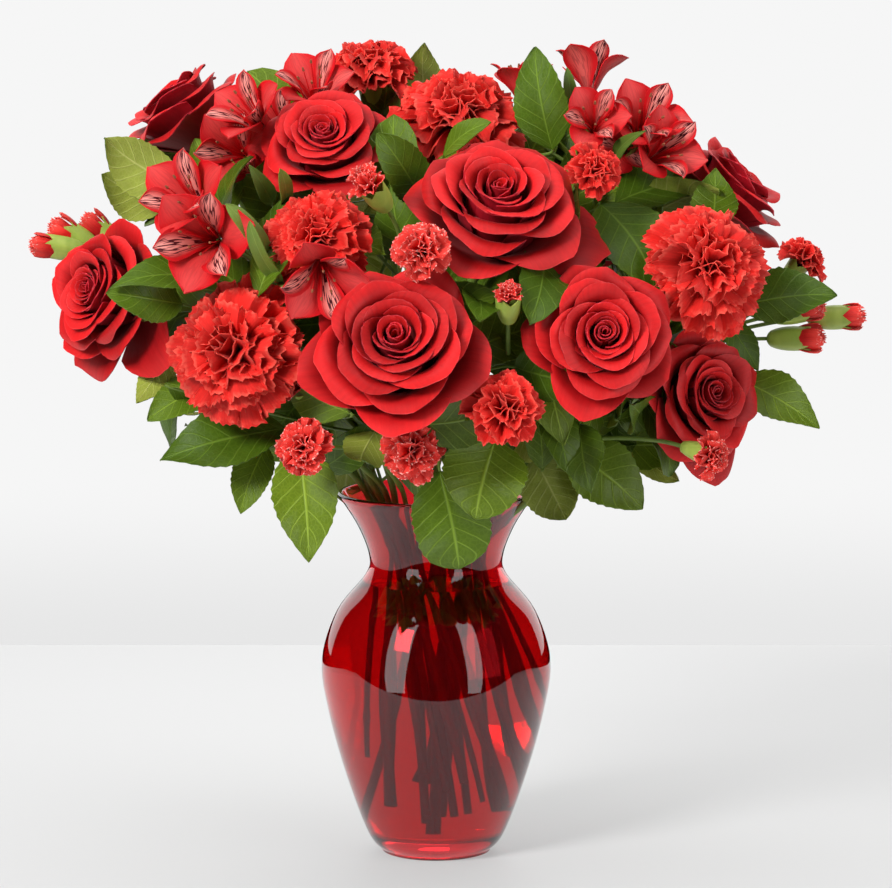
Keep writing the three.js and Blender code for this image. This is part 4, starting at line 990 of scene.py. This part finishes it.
def sepal_sheet(reach, wide, fall, turn):
    """A narrow green leaf under a bloom, which lies out from the hip and curls down."""
    u, v = across_along(5, 9)
    spread = wide / 2 * np.sin(math.pi * (0.2 + 0.78 * v)) ** 0.7
    r = 0.2 * reach + 0.8 * reach * v
    z = 0.46 * reach * v - fall * v ** 3 + 0.15 * spread * u ** 2
    return turned_to(turn, r, u * spread, z)


def hip(name, bloom, draw):
    """The green hip under a rose with its five sepals."""
    place = foot_of("rose", bloom)
    body = risen(name, [
        (0.5 * HIP, -1.75 * HIP), (0.86 * HIP, -1.3 * HIP), (HIP, -0.75 * HIP), (0.9 * HIP, -0.3 * HIP),
        (0.8 * HIP, 0),
    ], 16, CALYX_SKIN, place)
    leaves = Sheets()
    for k in range(5):
        grid = sepal_sheet(*SEPAL, draw.uniform(2, 9), (k + 0.5 + draw.uniform(-0.1, 0.1)) / 5)
        leaves.add(placed(grid * MM, place), draw.random())
    return [body, leaves.piece(name, CALYX_SKIN, THICK["calyx"])]


def green_cup(name, profile, teeth, place):
    """A thin green cup through (radius, height), its edge drawn out into teeth, with five faint ribs."""
    turn = np.linspace(0, math.tau, 31)[None, :]
    profile = softened(profile, 2)
    radius, height = profile[:, :1], profile[:, 1:]
    share = np.linspace(0, 1, len(profile))[:, None]
    tooth = np.abs((5 * turn / math.tau) % 1 - 0.5) * 2
    height = height + teeth * (tooth - 0.3) * share ** 6
    radius = radius * (1 + 0.025 * np.cos(5 * turn)) + 0.1 * teeth * tooth * share ** 6
    sheet = Sheets()
    sheet.add(placed(round_axis(radius, turn, height) * MM, place), 0.5)
    return sheet.piece(name, CALYX_SKIN, THICK["calyx"])


def calyx(name, kind, bloom):
    """The green cup under a carnation, slightly waisted, with a ring of scales at its foot. Those of spray
    carnations are drawn fuller than their solids."""
    length, girth = CALYX[kind]
    mouth, top = 1.04, 0.1
    if kind == "mini":
        fuller, mouth = (1.9, 0.98) if bloom[2] <= HALF_OPEN_WIDTH else (1.5, 1.1)
        girth, top = fuller * girth, 0.35
    place = foot_of(kind, bloom)
    scales = risen(name, [
        (0.3 * girth, -1.02 * length), (0.62 * girth, -0.97 * length), (0.72 * girth, -0.84 * length),
        (0.6 * girth, -0.66 * length), (0.3 * girth, -0.6 * length),
    ], 12, CALYX_SKIN, place)
    cup = green_cup(name, [
        (0.2 * girth, -0.98 * length), (0.6 * girth, -0.9 * length), (0.8 * girth, -0.6 * length),
        (0.96 * girth, -0.25 * length), (mouth * girth, top * length),
    ], 0.32 * length, place)
    return [scales, cup]


def bud(name, at, face, draw):
    """A closed bud: its green cup, and the round tuft of its petals."""
    place = bud_foot(at, face) @ Matrix.Scale(BUD_FULL, 4)
    cup = green_cup(name, [(1.2, -7), (3.2, -5.5), (4.6, -1), (5.0, 4), (4.6, 9)], 3.5, place)
    tuft = Sheets()
    u, v = across_along(9, 7)
    teeth = 0.04 * (-1.0) ** np.arange(9)[None, :]
    s = v * (1 + teeth * v ** 4 - 0.12 * u ** 2)
    for k in range(9):
        inner = (k % 3) / 3
        r = (1 - inner) * (3.2 + 2.6 * np.sin(2.2 * s)) * draw.uniform(0.85, 1.1)
        z = 3 + between(13, 15.5, inner) * s
        around = math.tau * (k / 9 + 0.04 * draw.random()) + between(0.7, 1.6, inner) * u
        r = r + 0.5 * np.sin(6 * u + k) * v ** 2
        tuft.add(placed(round_axis(r, around, z) * MM, place), draw.random())
    return [cup, tuft.piece(name, MINI_PETAL, THICK["bud"])]


def bloom_stems(node, kind, blooms, sunk, slim, every, green_parts):
    """Stems that carry one bloom each, with the blooms' green parts. They end a little below the blooms' feet
    and are a little slimmer than their solids."""
    end = Vector((0, 0, -sunk * MM))
    goals = {name: np.array(foot_of(kind, bloom) @ end) for name, bloom in blooms.items()}
    lines = trunks(node, STEM[kind] * MM, goals)
    paths = [(line, knotted(line, slim * STEM[kind] * MM, every)) for line in lines.values()]
    pieces = [rods(node, paths, STEM_SKIN)]
    for bloom in blooms.values():
        pieces += green_parts(bloom)
    return joined(node + "_green", pieces)


def rose_stems(node, names):
    draw = random.Random(node)
    blooms = {name: ROSES[name] for name in names}
    return bloom_stems(node, "rose", blooms, 1.2 * HIP, 0.95, None, lambda bloom: hip(node, bloom, draw))


def carnation_stems(node, names):
    blooms = {name: CARNATIONS[name] for name in names}
    sunk = 0.95 * CALYX["carnation"][0]
    return bloom_stems(node, "carnation", blooms, sunk, 0.9, JOINTS["carnation"] * MM,
                       lambda bloom: calyx(node, "carnation", bloom))


def spray(node, fork, minis, buds):
    draw = random.Random(node)
    line = trunk(node, "spray", fork)
    paths = [(line, knotted(line, STEM["spray"] * MM, JOINTS["spray"] * MM))]
    pieces = []
    for name in minis:
        place = foot_of("mini", MINIS[name])
        end = place @ Vector((0, 0, -0.95 * CALYX["mini"][0] * MM))
        paths.append(stalk(line[-1], end, place.to_3x3() @ UP, BRANCH["spray"] * MM))
        pieces += calyx(node, "mini", MINIS[name])
    for name in buds:
        at, face = BUDS[name]
        end = bud_foot(at, face) @ Vector((0, 0, -6.5 * MM))
        paths.append(stalk(line[-1], end, facing(face), 0.9 * BRANCH["spray"] * MM))
        pieces += bud(node, at, face, draw)
    return joined(node + "_green", [rods(node, paths, STEM_SKIN)] + pieces)


# Leaves. The columns and rows of one that shows, and of one deeper in the bouquet.
LEAF_GRID = (13, 25)
HIDDEN_GRID = (9, 15)


def leaf_sheet(base, tip, width, face, blunt, teeth, size, draw):
    """A leaf from its base to its tip, pointed or more or less blunt: folded a little along its midrib,
    arched, and puffed between its veins."""
    base, along = np.array(base), np.array(tip) - np.array(base)
    length = np.linalg.norm(along)
    side = np.cross(along, np.array(face))
    side = side / np.linalg.norm(side)
    top = np.cross(side, along) / length
    u, v = (share[..., None] for share in across_along(*size))
    shape = np.interp(v, (0, 0.05, 0.12, 0.2, 0.32, 0.45, 0.6, 0.74, 0.86, 0.94, 1),
                      (0.03, 0.3, 0.56, 0.78, 0.95, 1, 0.88, 0.68, 0.4, 0.19, 0.015))
    bluff = np.interp(v, (0, 0.45, 0.6, 0.74, 0.86, 0.94, 1), (0, 0, 0.1, 0.24, 0.36, 0.32, 0))
    shape = shape + blunt * bluff
    saw = 1 + teeth * (np.arange(v.size)[:, None, None] % 2 - 0.5) * np.abs(u)
    half = shape * saw * width / 2
    bend = draw.uniform(-0.06, 0.06) * length
    arch = 0.3 * length * v * (1 - v) - 0.08 * length * v ** 4
    puff = 0.018 * width * np.sin(14 * math.pi * (v - 0.25 * np.abs(u))) * np.abs(u) * (1 - np.abs(u))
    lift = arch + half * (0.2 * np.abs(u) ** 1.3) + 2.5 * puff
    wave = 0.05 * width * np.sin(9 * v + draw.uniform(0, 6)) * u ** 2 * np.sign(u)
    return base + along * v + side * (u * half + bend * v * (1 - v) * 2) + top * (lift + wave)


def leaf_stem(line, base, way):
    """A leaf's stalk from the nearest point of a stem above the vase's lip. It bends less to a leaf that
    points back at the stem, so that it makes no loop."""
    above = line[line[:, 2] > LIP * MM]
    start = above[np.linalg.norm(above - np.array(base), axis=1).argmin()]
    leads_on = np.dot(np.array(base) - start, np.array(way)) > 0
    return stalk(start, base, way, BRANCH["foliage"] * MM, 0.4 if leads_on else 0.12)


def in_metres(leaves):
    """A table's leaves, which show, with their places in metres."""
    return [(seen(base), seen(tip), width * MM, facing(face), LEAF_GRID, *blunt)
            for base, tip, width, face, *blunt in leaves]


def green_branch(node, kind, line, leaves, skins, teeth, draw):
    """A stem with its leaves on their stalks."""
    sheets = Sheets()
    paths = [(line, knotted(line, STEM[kind] * MM))]
    for base, tip, width, face, size, *blunt in leaves:
        paths.append(leaf_stem(line, base, (tip - base).normalized()))
        blunt = blunt[0] if blunt else draw.random() ** 2
        sheets.add(leaf_sheet(base, tip, width, face, blunt, teeth, size, draw), draw.random())
    return [rods(node, paths, STEM_SKIN), sheets.piece(node, skins[0], THICK["leaf"], skins[1])]


def lily_stem(node, fork, carried, leaves):
    draw = random.Random(node)
    line = trunk(node, "lily", fork)
    pieces = green_branch(node, "lily", line, in_metres(leaves), (LILY_LEAF, LILY_LEAF), 0, draw)
    paths = []
    for name in carried:
        for bloom in LILIES[name]:
            place = foot_of("lily", bloom)
            paths.append(stalk(line[-1], place.translation, place.to_3x3() @ UP, BRANCH["lily"] * MM))
    return joined(node + "_green", pieces + [rods(node, paths, STEM_SKIN)])


# The bouquet's dome, whose leaves start above its lowest height.
HEART = np.array((4, -12, 292)) * MM
REACH = np.array((205, 140, 150)) * MM
LOWEST = 226
# The leaves inside the dome: how many a branch has, how far they spread round its top, how deep they are as
# shares of the dome, how much room one takes, how long it is, and how wide as a share of its length.
FILLERS = 16
SPREAD = 55
DEEP = (0.45, 0.82)
ROOM = 13
LONG = (40, 58)
WIDE = (0.48, 0.62)
TRIES = 800


def balls():
    """The blooms as balls with their middles and radii, which the leaves inside the dome keep off."""
    found = []
    for kind, blooms in (("rose", ROSES), ("carnation", CARNATIONS), ("mini", MINIS)):
        for bloom in blooms.values():
            place = foot_of(kind, bloom)
            radius = bloom[2] / 2 * MM
            found.append((np.array(place @ Vector((0, 0, 0.6 * radius))), 0.8 * radius))
    return found


def filling(top, taken, draw):
    """More leaves round a stem's top, deeper in the dome, where they fill the gaps between the blooms."""
    made = []
    top = np.array(seen(top))
    for _ in range(TRIES):
        if len(made) == FILLERS:
            break
        way = np.array([draw.gauss(0, 1) for _ in range(3)])
        out = (top + way * SPREAD * MM - HEART) / REACH
        out = out / np.linalg.norm(out)
        spot = HEART + out * REACH * draw.uniform(*DEEP)
        if spot[2] < LOWEST * MM or any(np.linalg.norm(spot - c) < 0.9 * r for c, r in taken):
            continue
        taken.append((spot, ROOM * MM))
        ahead = Vector(out + 1.2 * np.array([draw.gauss(0, 1) for _ in range(3)])).normalized()
        length = draw.uniform(*LONG) * MM
        base = Vector(spot) - ahead * length / 2
        width = draw.uniform(*WIDE) * length
        made.append((base, base + ahead * length, width, Vector(out).normalized(), HIDDEN_GRID))
    return made


# Places where the backdrop would show between the blooms. A leaf stands behind each of them, this long, and
# this wide as a share of its length.
GAP_LONG = (44, 52)
GAP_WIDE = 0.6
GAPS = (
    (-108, 396, -6), (-87, 416, -24), (-122, 377, 10), (-62, 416, -20), (53, 394, -10), (102, 400, -8),
    (74, 399, -16), (112, 388, 6), (-146, 298, 10), (-71, 294, 60), (7, 321, 50),
    (22, 312, 70), (32, 286, 84), (79, 244, 60), (93, 242, 50), (-20, 400, -20), (-94, 372, 0),
    (78, 372, 10), (118, 280, 40), (-40, 236, 50), (10, 250, 70), (95, 366, 20), (-147, 391, -30),
    (-28, 421, -30), (-114, 322, 40), (-82, 246, 50), (118, 228, 40), (-21, 350, 60),
    (48, 325, 60), (134, 292, 30),
)


def closing(gap, draw):
    """A leaf that faces the front, behind a gap, and points away from the dome's heart."""
    spot = seen(gap)
    away = (spot - Vector(HEART)) * Vector((1, 0, 1))
    ahead = Matrix.Rotation(draw.uniform(-0.6, 0.6), 3, "Y") @ away.normalized()
    length = draw.uniform(*GAP_LONG) * MM
    base = spot - ahead * length / 2
    face = facing((draw.uniform(-0.3, 0.3), 0.9, draw.uniform(0, 0.5)))
    return base, base + ahead * length, GAP_WIDE * length, face, HIDDEN_GRID


def foliage(node, top, leaves, gaps, taken):
    """A leaf branch with the leaves of its table, those inside the dome and those behind the gaps."""
    draw = random.Random(node)
    line = trunk(node, "foliage", top)
    leaves = in_metres(leaves) + filling(top, taken, draw) + [closing(gap, draw) for gap in gaps]
    pieces = green_branch(node, "foliage", line, leaves, (LEAF_TOP, LEAF_UNDER), 0.05, draw)
    return joined(node + "_leaves", pieces)


# The vase and the water

OUTLINE = softened(OUTSIDE, 6)
SIDES = 96
# The radius of the round between the inside wall and the floor.
HEEL = 4
# How far the water reaches into the glass, so that no air shows between them, and how far it climbs it.
WETTED = 0.1
CLIMB = 0.4


def heel(side):
    """The round between the inside wall, at this radius, and the floor, from the wall down."""
    return [(side - HEEL * (1 - math.cos(a)), FLOOR + HEEL - HEEL * math.sin(a))
            for a in np.linspace(0.3, math.pi / 2, 5)]


def vase():
    """The glass, drawn up from the middle of the foot, over the lip, and down again to the floor."""
    lip_radius, lip_height = OUTSIDE[-1][0] - WALL / 2, LIP - WALL / 2
    lip = [(lip_radius + WALL / 2 * math.cos(a), lip_height + WALL / 2 * math.sin(a))
           for a in np.linspace(0, math.pi, 9)]
    # The foot is hollow by a hair and stands on its rim.
    foot = [(4, 1.2), (26, 0.8), (27, 0), (29, 0), (30.4, 0.5)]
    outside = [(r, z) for r, z in OUTLINE if 1.5 < z < LIP - WALL]
    inside = [(r - WALL, z) for r, z in OUTLINE[::-1] if FLOOR + HEEL < z < LIP - WALL]
    floor = [(12, FLOOR - 0.3), (1, FLOOR - 0.4)]
    profile = foot + outside + lip + inside + heel(inside[-1][0]) + floor
    return risen("vase_glass", profile, SIDES, GLASS)


def water():
    inside = [(r - WALL + WETTED, z) for r, z in OUTLINE if FLOOR + HEEL < z < WATER_LEVEL - 1]
    top = float(np.interp(WATER_LEVEL, OUTLINE[:, 1], OUTLINE[:, 0])) - WALL
    surface = [(top + WETTED, WATER_LEVEL + CLIMB), (top - 1.5, WATER_LEVEL), (1, WATER_LEVEL)]
    profile = [(12, FLOOR - 0.4)] + heel(inside[0][0])[::-1] + inside + surface
    return risen("water_fill", profile, SIDES, WATER)


def stand_in(piece, slot, *nodes):
    """The piece rides on the root, and stands for its nodes."""
    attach(piece, "root")
    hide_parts(*nodes)


stand_in(vase(), "red_glass", "vase")
stand_in(water(), "water", "water")
for name, bloom in ROSES.items():
    stand_in(rose(name, bloom), "rose_petal", name)
for name, bloom in CARNATIONS.items():
    petals = frilled(name, bloom, "carnation", CARNATION, CARNATION_PETAL)
    stand_in(petals, "carnation_petal", name)
for name, bloom in MINIS.items():
    form = HALF_OPEN if bloom[2] <= HALF_OPEN_WIDTH else MINI
    skin = CARNATION_PETAL if name in PLAIN_RED else MINI_PETAL
    stand_in(frilled(name, bloom, "mini", form, skin), "spray_carnation_petal", name)
for name, heads in LILIES.items():
    stand_in(lily(name, heads), "lily_petal", name)
for node, blooms in ROSE_STEMS.items():
    stand_in(rose_stems(node, blooms), "green_stem", node)
for node, blooms in CARNATION_STEMS.items():
    stand_in(carnation_stems(node, blooms), "green_stem", node)
for node, (fork, minis, buds) in SPRAYS.items():
    stand_in(spray(node, fork, minis, buds), "green_stem", node)
for node, (fork, carried, leaves) in LILY_STEMS.items():
    stand_in(lily_stem(node, fork, carried, leaves), "green_stem", node)
taken = balls()
screens = {node: [] for node in FOLIAGE}
for gap in GAPS:
    nearest = min(FOLIAGE, key=lambda node: (seen(FOLIAGE[node][0]) - seen(gap)).length)
    screens[nearest].append(gap)
for node, (top, leaves) in FOLIAGE.items():
    stand_in(foliage(node, top, leaves, screens[node], taken), "green_leaf", node)


# The room: a pale table that ends a little in front of the vase, soft boxes, and the photograph's view.
# Places and sizes here are in metres.
TABLE_FRONT = -0.27
TABLE_BACK = 0.633
FAR = 3
# How much the table glows, painted light that lifts its shadows, and where its colour starts and stops
# getting lighter to the back, which is painted shading.
GLOW = 0.36
LIGHTER = (-0.15, 0.45)


def ground(name, x, y, glossy):
    """A level stretch of matt acrylic, even and pale, which glows a little: painted light that lifts the
    shadows on it, as if it were lit from below. Its colour gets a little lighter to the back, which is
    painted shading.
    """
    bpy.ops.object.select_all(action="DESELECT")
    bpy.ops.mesh.primitive_plane_add(size=1, location=((x[0] + x[1]) / 2, (y[0] + y[1]) / 2, 0))
    plane = bpy.context.object
    plane.name = name
    plane.scale = (x[1] - x[0], y[1] - y[0], 1)
    bpy.ops.object.transform_apply(location=True, scale=True)
    # The emission is painted light that brightens the table and its shadows.
    made, tree, shader = material(
        name + "_acrylic", Roughness=0.6, Specular_IOR_Level=0.25,
        Emission_Color=linear("#ffffff"), Emission_Strength=GLOW)
    at = add(tree, "ShaderNodeTexCoord").outputs["Object"]
    depth = add(tree, "ShaderNodeSeparateXYZ", {0: at}).outputs["Y"]
    # Painted shading: the table's colour gets lighter towards the back.
    back = add(tree, "ShaderNodeMapRange", {"Value": depth, "From Min": LIGHTER[0], "From Max": LIGHTER[1]})
    mix = add(tree, "ShaderNodeMix", {0: back, 6: linear("#9c9c9c"), 7: linear("#a8a8a8")}, data_type="RGBA")
    give(tree, mix, shader.inputs["Base Color"])
    plane.data.materials.append(made)
    plane.visible_glossy = glossy


ground("table", (-FAR, FAR), (TABLE_FRONT, TABLE_BACK), True)
ground("floor", (-FAR, FAR), (-FAR, TABLE_FRONT), False)


def soft_box(name, place, target, size, power, glossy=False):
    """A soft box, seen by diffuse surfaces, or one that shows in the glass alone."""
    light = bpy.data.lights.new(name, "AREA")
    light.shape = "RECTANGLE"
    light.size, light.size_y = size
    light.energy = power
    box = linked(name, light)
    box.location = place
    box.rotation_euler = (Vector(target) - Vector(place)).to_track_quat("-Z", "Y").to_euler()
    box.visible_glossy = glossy
    box.visible_diffuse = not glossy
    box.visible_transmission = not glossy
    box.visible_camera = False


MIDDLE = (0, 0, 0.28)
LOWER = (0, 0, 0.2)
soft_box("key", (-1.3, -1.6, 1.35), MIDDLE, (0.7, 0.7), 56)
soft_box("fill", (1.6, -1.3, 0.7), MIDDLE, (1.4, 1.4), 17)
soft_box("above", (0.0, 0.1, 1.9), MIDDLE, (2.6, 2.0), 33)
soft_box("behind", (0.5, 1.8, 1.1), MIDDLE, (1.8, 1.2), 12)
soft_box("strip_left", (-0.85, -1.0, 0.75), LOWER, (0.6, 2.6), 12, True)
soft_box("strip_right", (0.8, -1.0, 0.75), LOWER, (0.42, 2.6), 8, True)
soft_box("wall_glow", (0, 1.9, 1.22), (0, 0, 1.22), (4.0, 2.4), 32, True)

# The backdrop is a little greyer below. The line of sight falls this much where it starts and stops to fade.
GREYER = -0.181
PALER = -0.138

world = bpy.data.worlds.new("studio")
bpy.context.scene.world = world
world.use_nodes = True
room = world.node_tree
look = add(room, "ShaderNodeTexCoord").outputs["Generated"]
rise = add(room, "ShaderNodeSeparateXYZ", {0: look}).outputs["Z"]
height = add(room, "ShaderNodeMapRange", {
    "Value": rise, "From Min": GREYER, "From Max": PALER,
}, interpolation_type="SMOOTHSTEP")
wall = add(room, "ShaderNodeMix", {0: height, 6: linear("#e7e7e7"), 7: linear("#f6f6f6")}, data_type="RGBA")
give(room, wall, room.nodes["Background"].inputs["Color"])
world.cycles_visibility.diffuse = False
world.cycles_visibility.glossy = False

# A long lens on a 36 mm frame, which looks down by a few degrees.
LENS = 161.7
DOWN = 7.53

lens = bpy.data.cameras.new("photograph")
lens.sensor_width = 36
lens.lens = LENS
lens.clip_end = 50
camera = linked("photograph", lens)
camera.location = EYE
camera.rotation_euler = (math.radians(90 - DOWN), 0, 0)
bpy.context.scene.camera = camera
bpy.context.scene.view_settings.view_transform = "Standard"
